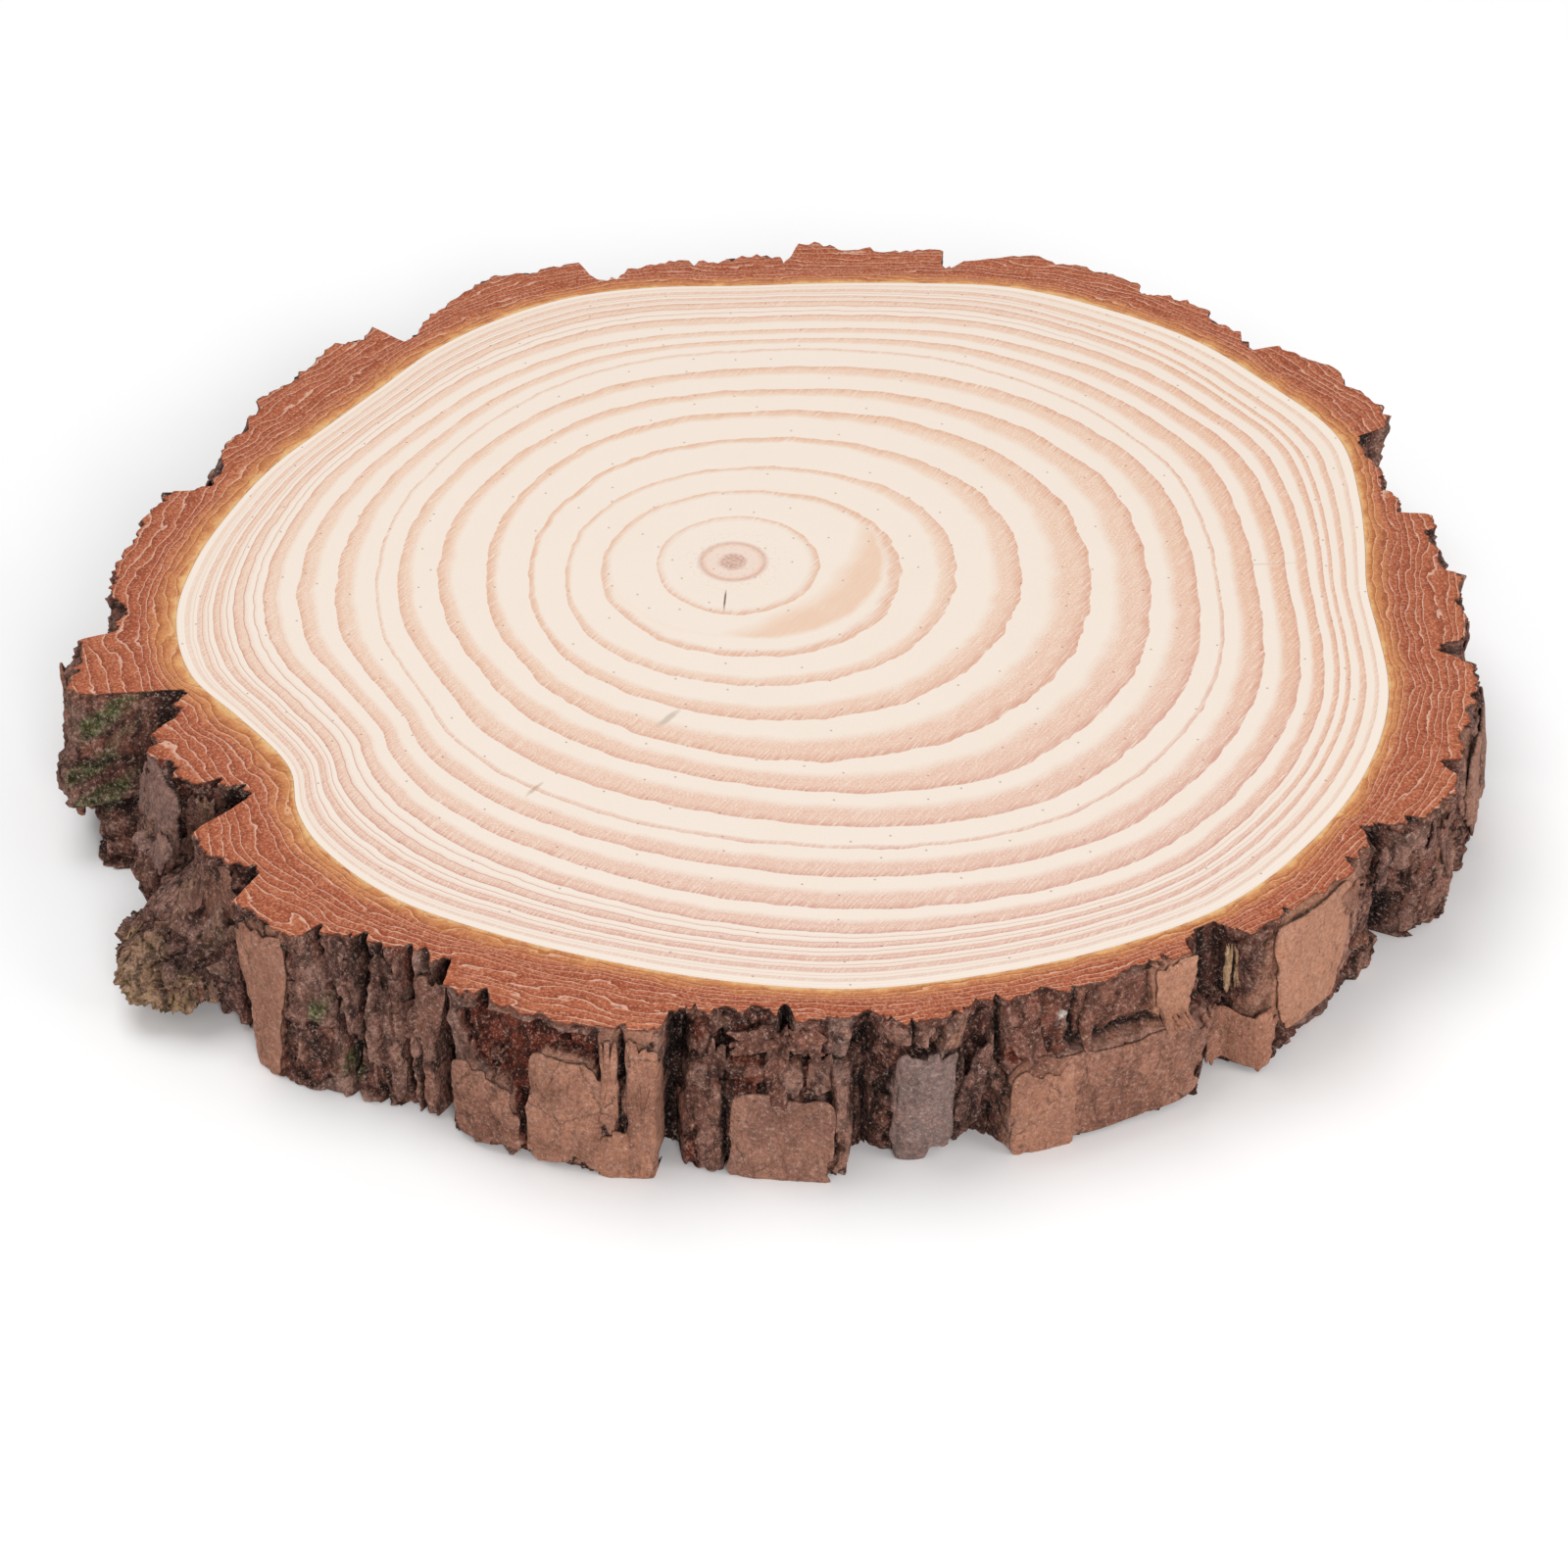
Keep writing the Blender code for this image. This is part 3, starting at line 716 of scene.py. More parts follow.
def bark_face(angle, depth):
    """Radius of the bark's outer face, its true angle, and what the material needs to know."""
    true = angle + plate_value(LEAN, angle) * depth / THICKNESS
    wander = 0.5 * rough(angle, depth, 5.0, 5.0, 31, 3) + 0.4 * rough(angle, depth, 26.0, 9.0, 35)
    bent = angle + wander * (0.2 + 0.8 * smooth(0.0, 4.0, depth))
    wall = plate_value(WALL, bent)
    on_face = 1.0 - wall
    radius, past_crack = plate_radius(bent, depth)
    plain = radius + 0.0
    groove = np.exp(-(past_crack / 0.35) ** 2) * smooth(-0.4, 0.1, rough(angle, depth, 22.0, 40.0, 45))
    radius = radius - 0.8 * groove * on_face

    # A mosaic of scales covers every plate, and its steps are the edges of the bark's layers.
    ragged = 0.5 * rough(angle, depth, 2.0, 2.0, 49, 3)
    gap, facet, pick = cells(angle + wander + 0.5 * ragged, depth + 2.5 * wander + ragged,
                             6.2, 9.5, 53)
    fine_gap, fine_facet, fine_pick = cells(angle + wander + 0.4 * ragged, depth + 2.0 * ragged,
                                            2.4, 5.0, 57)
    _, crumb_facet, crumb_pick = cells(angle + 0.4 * ragged, depth + ragged, 1.0, 1.7, 59)
    radius = radius + on_face * (0.55 * facet + 0.3 * fine_facet)
    # Near-black painted shade is kept along the gaps between the scales and in the grooves across the
    # cracks.
    seam = on_face * np.maximum(0.7 * smooth(0.08, 0.02, gap), 0.5 * smooth(0.10, 0.0, fine_gap))
    seam = np.maximum(seam, groove * on_face)
    greyness = pick[..., 1] * pick[..., 2] + 0.25 * fine_pick[..., 1]
    tint = {"smooth": 0.45 * smooth(0.45, 0.8, pick[..., 1]) * on_face,
            "warm": 0.5 * smooth(0.6, 0.95, pick[..., 2]) * on_face,
            "grey": 0.6 * smooth(0.66, 0.8, greyness) * on_face,
            "peel": 0.9 * smooth(0.80, 0.86, 0.4 * pick[..., 0] + 0.6 * fine_pick[..., 2]) * on_face}

    # The scales that the photograph shows, one by one.
    for first, last, top, bottom, out, narrow, *shades in SCALES:
        middle, half = 0.5 * (first + last), arc_of(0.5 * (last - first))
        slim = np.clip(1.0 - narrow * (depth - top) / (bottom - top), 0.2, 2.0)
        across = np.abs(arc_of((true - middle + 180.0) % 360.0 - 180.0)) / (half * slim)
        down = np.abs(depth - 0.5 * (top + bottom)) / (0.5 * (bottom - top))
        inside = (1.0 - (across ** 5 + down ** 5) ** 0.2) * min(half, 0.5 * (bottom - top))
        inside = (inside + 1.1 * ragged + 0.45 * (crumb_pick[..., 0] - 0.5)
                  + 0.6 * rough(angle, depth, 6.0, 6.0, 61))
        cover = smooth(-0.08, 0.12, inside) * on_face
        curl = 0.25 * np.exp(-np.maximum(inside, 0.0) / 0.8) * rough(angle, depth, 4.0, 4.0, 63)
        face = plain + out + curl + 0.12 * facet + 0.3 * rough(angle, depth, 8.0, 8.0, 67)
        radius = radius + (face - radius) * cover
        # A thin line of painted shade runs round parts of each scale's outline.
        outline_shade = np.exp(-((inside + 0.12) / 0.16) ** 2)
        outline_shade = outline_shade * smooth(-0.1, 0.5, rough(angle, depth, 5.0, 5.0, 65))
        seam = np.maximum(seam * (1.0 - cover), outline_shade * on_face)
        for name, value in zip(tint, shades):
            tint[name] = tint[name] + (value - tint[name]) * cover
    for place_at, top, bottom, width, cut, slant in FISSURES:
        side = (true + 0.5 * wander - place_at - slant * depth / THICKNESS + 180.0) % 360.0 - 180.0
        width = width * (1.0 + 0.5 * rough(angle, depth, 8.0, 4.0, 71))
        shape = np.clip(1.0 - np.abs(side) / (0.5 * width), 0.0, 1.0)
        cut = cut * (1.0 if bottom < 6.0 else 0.3 + 0.7 * smooth(0.0, 3.0, depth))
        length = smooth(top - 0.6, top + 0.6, depth) * smooth(bottom + 0.8, bottom - 0.8, depth)
        radius = radius - cut * shape ** 0.6 * length
        # Each small fissure is painted dark as shade along its cut.
        seam = np.maximum(seam, smooth(0.1, 0.6, shape) * length)

    # In the fissures and the rough stretches the torn edges of the layers stand in steps.
    calm = tint["smooth"]
    torn_here = smooth(0.1, 0.5, rough(angle, depth, 20.0, 24.0, 75))
    layered = np.clip(wall + 0.8 * torn_here * (1 - calm), 0, 1)
    edge = round_curve(WOOD_EDGE, true)
    level = (radius - edge) / LAYER + 0.9 * rough(angle, depth, 3.2, 12.0, 81, 2)
    stepped = np.floor(level) + smooth(0.25, 0.75, level - np.floor(level))
    radius = radius + layered * 0.85 * (stepped - level) * LAYER
    radius = radius + (0.4 * layered + 0.15 * (1 - calm)) * rough(angle, depth, 0.8, 8.0, 85, 2)
    radius = radius + (0.05 + 0.28 * (1 - calm)) * crumb_facet
    radius = radius + (0.05 + 0.15 * (1 - calm)) * rough(angle, depth, 1.5, 1.5, 91, 3)
    rim_chips = smooth(0.0, 0.6, rough(angle, depth, 5.0, 90.0, 97, 4))
    radius = radius - 1.2 * rim_chips * smooth(1.6, 0.0, np.minimum(depth, THICKNESS - depth))

    # The bark swells round the dead branch, and is rough and less warm about it; the dark ground about
    # it is painted shade, laid on with that of the fissures.
    aside = np.radians(angle - KNOT_ANGLE) * KNOT_CENTRE
    dome = KNOT_RADIUS ** 2 - aside ** 2 - (depth - KNOT_DEPTH) ** 2
    swelling = KNOT_CENTRE - KNOT_SINK + 1.6 * ragged + 0.5 * facet + np.sqrt(np.maximum(dome, 0))
    radius = np.maximum(radius, np.where(dome > 0, swelling, 0))
    radius = np.maximum(radius, edge + THINNEST_BARK)
    for name in ("smooth", "warm"):
        tint[name] = tint[name] * smooth(8.0, 13.0, knot_distance(angle, depth))
    for name, patches in (("moss", MOSS), ("lichen", LICHEN)):
        tint[name] = 0.0 * radius
        for middle, half, low, tall in patches:
            far = np.hypot((true - middle) / half, (depth - low) / tall)
            far = far + 0.6 * ragged + 0.5 * rough(angle, depth, 3.0, 3.0, 99)
            tint[name] = np.maximum(tint[name], smooth(1.1, 0.5, far))
    radius = radius + tint["moss"] * (0.3 + 0.7 * rough(angle, depth, 1.3, 1.3, 101, 2))
    rim = (radius - edge) * plate_value(PACKED, true)
    tint.update(seam=seam, rim=rim, sawn=0.0 * radius)
    return radius, true, tint


FINE_ANGLES = 7201


def column_angles():
    """Angles of the bark's columns, closer together on the front and at the fissures."""
    fine = np.linspace(-180.0, 180.0, FINE_ANGLES)
    from_right = np.where(fine < -90, -180 - fine, fine)
    density = 1.0 + (FRONT_DENSITY - 1.0) * smooth(35.0, -10.0, from_right)
    density = density * (1.0 + (FISSURE_DENSITY - 1.0) * (plate_value(WALL, fine) > 0.01))
    total = np.concatenate([[0.0], np.cumsum(0.5 * (density[1:] + density[:-1]))])
    return np.interp(np.arange(BARK_COLUMNS) / BARK_COLUMNS * total[-1], total, fine)


columns = column_angles()
rise = np.linspace(0.0, 1.0, FACE_ROWS)
depths = THICKNESS * (1.0 - (0.72 * rise + 0.28 * (0.5 - 0.5 * np.cos(np.pi * rise))))
depth, angle = np.meshgrid(depths, columns, indexing="ij")
face_radius, leaning, looks = bark_face(angle, depth)
# Painted shade and light: points below their surroundings are darkened as painted shade, points above
# them lightened as painted highlight.
level = 0.5 * blur(face_radius, 2) + 0.5 * blur(face_radius, 6)
looks["cavity"] = np.clip((level - face_radius) / 0.8, -1, 1)
# More painted shade, deep in the fissures and on the ground just above the knot.
knot_shade = 0.4 * smooth(13.0, 8.0, knot_distance(angle, depth))
looks["sunk"] = np.clip((blur(face_radius, 24) - face_radius) / 4.0 + knot_shade, 0.0, 1.0)
height = THICKNESS - depth

# The section goes up the outer face, in over the sawn top, down the inner wall and out below.
CUT_SHARES = (0.02, 0.15, 0.4, 0.7, 1.0)
FALL = 0.18
BARK_CLEARANCE = 0.02
height[0] += FALL
height[-1] -= FALL
spots = [place(leaning, face_radius, height)]
for row, level, shares in ((-1, THICKNESS, CUT_SHARES), (0, 0.0, CUT_SHARES[::-1])):
    inner = round_curve(WOOD_EDGE, leaning[row]) + CUT_CLEARANCE + BARK_CLEARANCE
    for share in shares:
        cut_radius = face_radius[row] + (inner - face_radius[row]) * share
        spots.append(place(leaning[row], cut_radius, level)[None])
        for name in looks:
            packed = plate_value(PACKED, leaning[row])
            cut_look = {"sawn": 1.0, "rim": (cut_radius - inner) * packed}.get(name, 0.0)
            looks[name] = np.concatenate([looks[name], cut_look + np.zeros((1, BARK_COLUMNS))])
bark = skin("bark_ring", np.concatenate(spots), looks, closed=True)
bpy.ops.object.shade_smooth_by_angle(angle=math.radians(50))

# Pine bark: dry cork, quite matt. Sawn across it is red brown and grainy, with wavy pale lines
# where the layers part, and orange next to the wood. Its broken faces are brown to grey, the
# peeled places dark red. On them, the fine pale grains are painted glints, raised edges get a
# painted highlight, and the crevices are painted nearly black as shade.
cork = bpy.data.materials.new("pine bark")
cork.use_nodes = True
tree = cork.node_tree
shader = tree.nodes["Principled BSDF"]
LAYER_LENGTH, LAYER_HEIGHT = 11.0, 9.0
CIRCLE = 80.0
in_mm = mm_from_pith(1.0)
heading = combine("NORMALIZE", scaled(in_mm, (1.0, 1.0, 0.0)))

# Wavy layers, long round the trunk and up it and a millimetre or so thick, seen wherever they are
# cut or torn across. They lie closer together next to the wood.
arc = scaled(heading, (CIRCLE / LAYER_LENGTH,) * 3)
up = scaled(in_mm, (0.0, 0.0, 1 / LAYER_HEIGHT))
layer_space = combine("ADD", arc, up)
rim_in = look("rim")
ripple = grain_of(2.6, 3.0)
swell = grain_of(9.0, 1.0)
waves = calc("MULTIPLY_ADD", ripple, 0.9, calc("MULTIPLY_ADD", swell, 2.6, -1.7))
packed = calc("MULTIPLY", span(rim_in, 0.0, 5.0), 1.8)
layer_count = calc("ADD", calc("ADD", rim_in, waves), packed)
braid = add(tree, "ShaderNodeTexNoise", {"Vector": layer_space, "W": calc("MULTIPLY", rim_in, 0.5),
                                         "Scale": 1.0, "Detail": 2.0}, noise_dimensions="4D")
line_phase = calc("MULTIPLY_ADD", braid, 3.6, layer_count)
line_part = calc("FRACT", line_phase, 0.0)
leaf_tone = add(tree, "ShaderNodeTexWhiteNoise", {"W": calc("FLOOR", line_phase, 0.0)},
                noise_dimensions="1D")
leaf_edge = span(line_part, 0.13, 0.0)
blotch = grain_of(6.0, 4.0)
mottle = grain_of(1.3, 4.0, 0.65)
sand = grain_of(0.3, 3.0, 0.7)

# The sawn face, from the orange inner bark to the red brown cork.
sawn_cork = blend(leaf_tone, "#BC6E4C", "#AA5A3D")
sawn_cork = blend(span(line_part, 0.5, 0.97, 0.85), sawn_cork, "#8C422A")
sawn_cork = blend(span(sand, 0.5, 0.34, 0.8), sawn_cork, "#833F2B")
sawn_cork = blend(span(sand, 0.52, 0.68, 0.8), sawn_cork, "#D39A7D")
line_here = calc("MULTIPLY", span(line_part, 0.17, 0.06), span(ripple, 0.34, 0.44, 0.85))
sawn_cork = blend(line_here, sawn_cork, "#DCB099")
inner_ragged = calc("MULTIPLY_ADD", ripple, 2.4, rim_in)
inner_cork = blend(span(line_part, 0.5, 0.97), "#DFA065", "#C47A42")
sawn_cork = blend(span(inner_ragged, 3.4, 1.3, 0.75), sawn_cork, inner_cork)
sawn_cork = blend(span(inner_ragged, 1.7, 1.0, 0.7), sawn_cork, "#EBC58C")

# The grown faces: torn cork, plates, grey crust, and places where a scale has just peeled off.
# Crumbs 1.6 mm across, each with its own tone and with painted shade towards its edges, cover all but
# the smooth plates.
smooth_in = look("smooth")
rough_in = calc("MULTIPLY_ADD", smooth_in, -0.85, 1.0)
streak = grain_of(1.0, 3.0, 0.6, scaled(in_mm, (2.0, 2.0, 0.3)))
warped = combine("ADD", scaled(in_mm, (0.62, 0.62, 0.36)), scaled(mottle.outputs["Color"], (0.9,) * 3))
crumbs = add(tree, "ShaderNodeTexVoronoi", {"Vector": warped, "Scale": 1.0})
crumb_pick = add(tree, "ShaderNodeSeparateColor", {"Color": crumbs.outputs["Color"]})
crumb_edge = calc("MULTIPLY", span(crumbs.outputs["Distance"], 0.52, 0.78), rough_in)
torn = blend(span(blotch, 0.35, 0.65), "#4A261E", "#804E40")
torn = blend(calc("MULTIPLY", crumb_pick.outputs[0], 0.7), torn, "#8E5F51")
torn = blend(span(crumb_pick.outputs[1], 0.55, 1.0, 0.8), torn, "#3A221C")
torn = blend(span(leaf_tone, 0.3, 0.9, 0.5), torn, "#7A4A3E")
torn = blend(calc("MULTIPLY", leaf_edge, 0.8), torn, "#26150F")
plate = blend(span(blotch, 0.34, 0.66), "#774A3E", "#BD856D")
plate = blend(span(mottle, 0.50, 0.66, 0.6), plate, "#5C3C36")
plate = blend(span(mottle, 0.46, 0.32, 0.4), plate, "#C79A86")
plate = blend(span(streak, 0.5, 0.7, 0.45), plate, "#6E4A43")
plate = blend(calc("MULTIPLY", leaf_edge, 0.45), plate, "#3A231D")
split_space = combine("ADD", scaled(in_mm, (0.17, 0.17, 0.13)),
                      scaled(mottle.outputs["Color"], (0.22,) * 3))
splits = add(tree, "ShaderNodeTexVoronoi", {"Vector": split_space, "Scale": 1.0},
             feature="DISTANCE_TO_EDGE")
split = calc("MULTIPLY", span(splits.outputs["Distance"], 0.022, 0.008), span(blotch, 0.44, 0.56, 0.85))
plate = blend(split, plate, "#1E120E")
grown = blend(smooth_in, torn, plate)
grown = blend(calc("MULTIPLY", look("warm"), 0.65), grown, blend(mottle, "#BC7A5C", "#E2A988"))
grown = blend(calc("MULTIPLY", look("grey"), 0.75), grown, blend(mottle, "#6E5B57", "#A3908A"))
grown = blend(look("peel"), grown, blend(sand, "#4E1B11", "#93462F"))
grown = blend(look("straw"), grown, blend(streak, "#5C3D25", "#E0BC8E"))
grown = blend(span(mottle, 0.42, 0.25, 0.5), grown, "#33201A")
# Painted highlight where the face stands above its surroundings, on ridges and on the rims of flakes.
grown = blend(span(look("cavity"), -0.15, -0.7, 0.4), grown, "#BC9080")
# Painted shade towards the crumbs' edges, where they part.
grown = blend(calc("MULTIPLY", crumb_edge, 0.75), grown, "#21130F")
grown = blend(calc("MULTIPLY", look("lichen"), span(mottle, 0.42, 0.52)), grown, "#E3D8CF")
moss_tone = grain_of(0.9, 4.0, 0.7)
moss_tips = blend(span(moss_tone, 0.5, 0.75), "#5E5E36", "#A5A784")
moss_colour = blend(span(moss_tone, 0.3, 0.55), "#1D2010", moss_tips)
grown = blend(calc("MULTIPLY", look("moss"), span(mottle, 0.3, 0.5)), grown, moss_colour)
# Painted shade: near black in the hollows, deep in the fissures, about the knot, on the backs of flakes
# and in the cracks round the scales.
grown = blend(span(look("cavity"), 0.15, 0.8, 0.85), grown, "#1B0F0C")
grown = blend(span(look("sunk"), 0.2, 0.8, 0.85), grown, "#170D0B")
grown = blend(calc("MULTIPLY", look("seam"), span(mottle, 0.3, 0.5, 0.9)), grown, "#140A08")

# Grit of cork half a millimetre across, with painted shade in its hollows and a painted highlight where
# it catches the light.
grit = grain_of(0.5, 3.0, 0.8)
for darkest, full, strength, less, colour in ((0.50, 0.38, 0.6, 0.55, "#2A1712"),
                                              (0.55, 0.66, 0.55, 0.4, "#D8B6A6")):
    grit_here = calc("MULTIPLY", span(grit, darkest, full, strength),
                     calc("MULTIPLY_ADD", smooth_in, -less, 1.0))
    grown = blend(grit_here, grown, colour)
# Painted highlight: fine pale glints on the sand grains.
grown = blend(span(sand, 0.62, 0.72, 0.6), grown, "#E6D2C6")
skin_colour = blend(look("sawn"), grown, sawn_cork)
tree.links.new(skin_colour, shader.inputs["Base Color"])
shader.inputs["Roughness"].default_value = 0.85
shader.inputs["IOR"].default_value = 1.28
mottle_height = calc("MULTIPLY_ADD", smooth_in, -0.8, 1.6)
relief = calc("MULTIPLY_ADD", mottle, mottle_height, calc("MULTIPLY", grit, 0.9))
relief = calc("MULTIPLY_ADD", streak, 0.5, relief)
relief = calc("MULTIPLY_ADD", crumb_edge, -0.9, relief)
relief = calc("MULTIPLY", relief, calc("MULTIPLY_ADD", look("sawn"), -0.75, 1.0))
grainy = add(tree, "ShaderNodeBump", {"Height": relief, "Strength": 1.0, "Distance": 0.5 * MM})
tree.links.new(grainy.outputs[0], shader.inputs["Normal"])
bark.data.materials.append(cork)
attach(bark, "root")
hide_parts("bark")


# The loose bark: flakes and splinters that stand off the plates, and the crumbled stump of a
# branch low down on the left, where the bark has grown round it in dark curls. All of them grow
# out of the bark ring.
# Each flake: angle, depth, radius, half width, half height, thickness, turn in its plane, how far
# it leans out to the right and downwards, then how smooth, warm, grey, peeled and straw it is.
FLAKES = (
    (-147.4, 4.2, 78.0, 6.1, 4.1, 1.6, 0.0, 0.1, 0.22, 0.8, 0.0, 0.45, 0.0, 0.0),
    (-143.9, 7.2, 80.6, 1.9, 2.7, 0.8, 24.0, 0.1, 0.20, 0.9, 0.0, 0.5, 0.0, 0.0),
    (-143.0, 3.9, 76.4, 0.9, 3.6, 0.45, 4.0, -0.9, 0.05, 0.5, 0.0, 0.1, 0.0, 0.0),
    (-142.0, 4.0, 75.4, 0.9, 3.2, 0.45, -6.0, -0.9, 0.1, 0.4, 0.1, 0.2, 0.0, 0.2),
    (-140.9, 3.4, 74.4, 1.1, 2.6, 0.5, 8.0, -0.8, 0.1, 0.3, 0.0, 0.0, 0.2, 0.0),
    (-137.9, 4.6, 79.9, 2.2, 3.4, 0.6, -10.0, 0.0, 0.25, 0.5, 0.1, 0.1, 0.1, 0.0),
    (-134.6, 4.4, 81.6, 4.6, 3.2, 0.8, -32.0, 0.1, 0.15, 0.6, 0.15, 0.0, 0.0, 0.0),
    (-131.3, 3.4, 77.4, 2.2, 3.2, 0.6, 12.0, 0.6, 0.1, 0.3, 0.0, 0.1, 0.1, 0.0),
    (-130.7, 2.6, 73.8, 1.4, 2.3, 0.5, -10.0, 0.7, 0.1, 0.2, 0.0, 0.0, 0.3, 0.0),
    (-132.2, 14.2, 82.9, 2.1, 5.3, 2.6, -4.0, 0.0, 0.05, 0.1, 0.0, 0.15, 0.0, 0.0),
    (-134.6, 14.6, 86.0, 1.9, 2.8, 1.4, 3.0, 0.1, 0.0, 0.6, 0.0, 0.0, 0.0, 0.0),
    (-133.3, 9.0, 81.5, 2.4, 2.0, 0.9, 30.0, 0.2, 0.2, 0.2, 0.0, 0.0, 0.0, 0.1),
    (-161.0, 14.6, 82.8, 3.2, 1.8, 1.1, 10.0, 0.1, 0.1, 0.3, 0.2, 0.0, 0.5, 0.0),
    (-154.2, 13.2, 77.0, 2.6, 2.2, 1.0, 24.0, 0.2, 0.2, 0.2, 0.1, 0.0, 0.4, 0.0),
    (-164.2, 5.6, 82.4, 2.6, 5.6, 0.8, 0.0, 0.0, 0.02, 0.8, 0.2, 0.0, 0.3, 0.0),
    (-121.0, 3.6, 83.2, 1.6, 3.4, 0.7, 14.0, 0.2, 0.1, 0.3, 0.0, 0.2, 0.0, 0.0),
    (-116.6, 9.0, 83.4, 1.2, 5.8, 0.7, -5.0, 0.1, 0.0, 0.3, 0.1, 0.1, 0.0, 0.0),
    (-112.9, 5.4, 83.4, 1.9, 4.4, 0.7, 9.0, -0.1, 0.05, 0.4, 0.2, 0.1, 0.0, 0.0),
    (-90.9, 8.0, 83.9, 1.3, 5.0, 0.8, 12.0, 0.2, 0.05, 0.4, 0.1, 0.2, 0.0, 0.0),
    (-88.0, 2.6, 84.7, 2.6, 1.3, 0.8, -14.0, 0.1, 0.3, 0.4, 0.1, 0.1, 0.1, 0.0),
    (-84.2, 3.0, 85.4, 2.0, 1.6, 0.8, 18.0, 0.1, 0.35, 0.4, 0.1, 0.1, 0.2, 0.0),
    (-71.9, 11.2, 86.6, 1.2, 5.6, 0.8, 10.0, 0.2, 0.02, 0.1, 0.0, 0.25, 0.0, 0.0),
    (-53.4, 12.6, 90.0, 1.2, 4.0, 0.7, -8.0, 0.0, 0.05, 0.6, 0.5, 0.0, 0.1, 0.0),
    (-52.6, 3.6, 90.0, 0.5, 3.2, 0.6, 3.0, 0.0, 0.05, 0.8, 0.4, 0.0, 0.0, 0.8),
    (-51.9, 4.2, 90.3, 0.35, 2.4, 0.5, -7.0, 0.0, 0.05, 0.8, 0.4, 0.0, 0.0, 0.6),
    (-36.4, 4.6, 91.6, 1.0, 3.0, 0.9, 3.0, 0.0, 0.0, 0.4, 0.1, 0.3, 0.0, 0.0),
    (-29.4, 10.4, 94.0, 1.6, 6.2, 0.8, 6.0, 0.1, 0.0, 0.6, 0.2, 0.1, 0.0, 0.0),
)
# Sections of a flake and of a thin leaf, from the middle of the back to that of the front: share of
# the way out, and share of the thickness.
FLAKE_ROWS = ((0.0, -0.5), (0.5, -0.5), (0.86, -0.42), (1.0, -0.12), (1.0, 0.2), (0.9, 0.44),
              (0.7, 0.5), (0.45, 0.5), (0.22, 0.5), (0.0, 0.5))
LEAF_ROWS = ((0.0, -0.5), (1.0, -0.3), (1.0, 0.2), (0.75, 0.5), (0.0, 0.5))


FLAKE_SIDES, LEAF_SIDES, FIBRE_SIDES = 96, 15, 8
FLAKE_CIRCLE = 84.0


def flake(number, angle, depth, wide, tall, thick, turned, lean, tip, narrow, shades, base,
          sides=FLAKE_SIDES, rows=FLAKE_ROWS):
    """Thin ragged plate of bark about an angle and depth, on a surface of a radius given by base."""
    spin = np.linspace(-180.0, 180.0, sides, endpoint=False)
    reach, out = (column[:, None] for column in np.array(rows).T)
    square = (np.abs(np.cos(np.radians(spin))) ** 7 + np.abs(np.sin(np.radians(spin))) ** 7) ** (-1 / 7)
    size = math.sqrt(wide * tall)
    level = 0.0 * spin
    broken = (0.09 * rough(spin, level, 60.0, 9.0, 200 + number)
              + 0.3 / size * rough(spin, level, 19.0, 9.0, 220 + number))
    broken = broken - 0.55 / size * smooth(0.12, 0.2, rough(spin, level, 33.0, 9.0, 240 + number))
    square = square * (1.0 + broken)
    right = reach * square * np.cos(np.radians(spin)) * wide
    down = -reach * square * np.sin(np.radians(spin)) * tall
    right = right * (1.0 - 0.5 * narrow * (1.0 + down / tall))
    turned = math.radians(turned)
    right, down = (right * math.cos(turned) - down * math.sin(turned),
                   right * math.sin(turned) + down * math.cos(turned))
    low = np.clip(depth + down, 0.12, THICKNESS - 0.05)
    around = angle + np.degrees(right / FLAKE_CIRCLE)
    lift = 0.25 * reach ** 3 * rough(around, low, 3.0, 3.0, 300 + number)
    _, facet, _ = cells(around + 0.4 * lift, low + lift, 2.6, 3.6, 53)
    bumps = (0.12 + 0.2 * (1.0 - shades[0])) * rough(around, low, 1.4, 1.8, 400 + number, 3)
    bumps = (bumps + (0.05 + 0.25 * (1.0 - shades[0])) * facet) * (reach < 0.95)
    away = out * thick + lift + bumps + lean * right + tip * down
    shown = out > 0.15
    nothing = 0.0 * away
    tint = {name: shade + nothing
            for name, shade in zip(("smooth", "warm", "grey", "peel", "straw"), shades)}
    # Painted highlight on parts of the flake's rim and on its bumps; its back is painted dark as shade.
    rim_highlight = 0.5 * smooth(-0.1, 0.5, rough(spin, level, 30.0, 9.0, 500 + number, 2))
    tint.update(cavity=np.where(shown, -rim_highlight * reach ** 3 - 1.2 * bumps, 0.8),
                sunk=nothing + 0.5 * (out < 0), rim=3.0 + away + 0.3 * right)
    tint.update({name: nothing for name in ("seam", "moss", "lichen", "sawn")})
    spots = place(around, base(around, low) + away, THICKNESS - low)
    return skin(f"flake_{number}", spots, tint, closed=False)


def joined(name, pieces):
    """One piece of bark of several."""
    bpy.ops.object.select_all(action="DESELECT")
    for piece in pieces:
        piece.select_set(True)
    bpy.context.view_layer.objects.active = pieces[0]
    if len(pieces) > 1:
        bpy.ops.object.join()
    pieces[0].name = name
    bpy.ops.object.shade_smooth_by_angle(angle=math.radians(50))
    pieces[0].data.materials.append(cork)
    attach(pieces[0], "root")
    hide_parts("bark")


def upright(true, depth):
    """The angle at the top edge from which the bark leans to a true angle."""
    return true - plate_value(LEAN, true) * depth / THICKNESS


def plate_base(true, depth):
    return plate_radius(upright(true, depth), depth)[0]


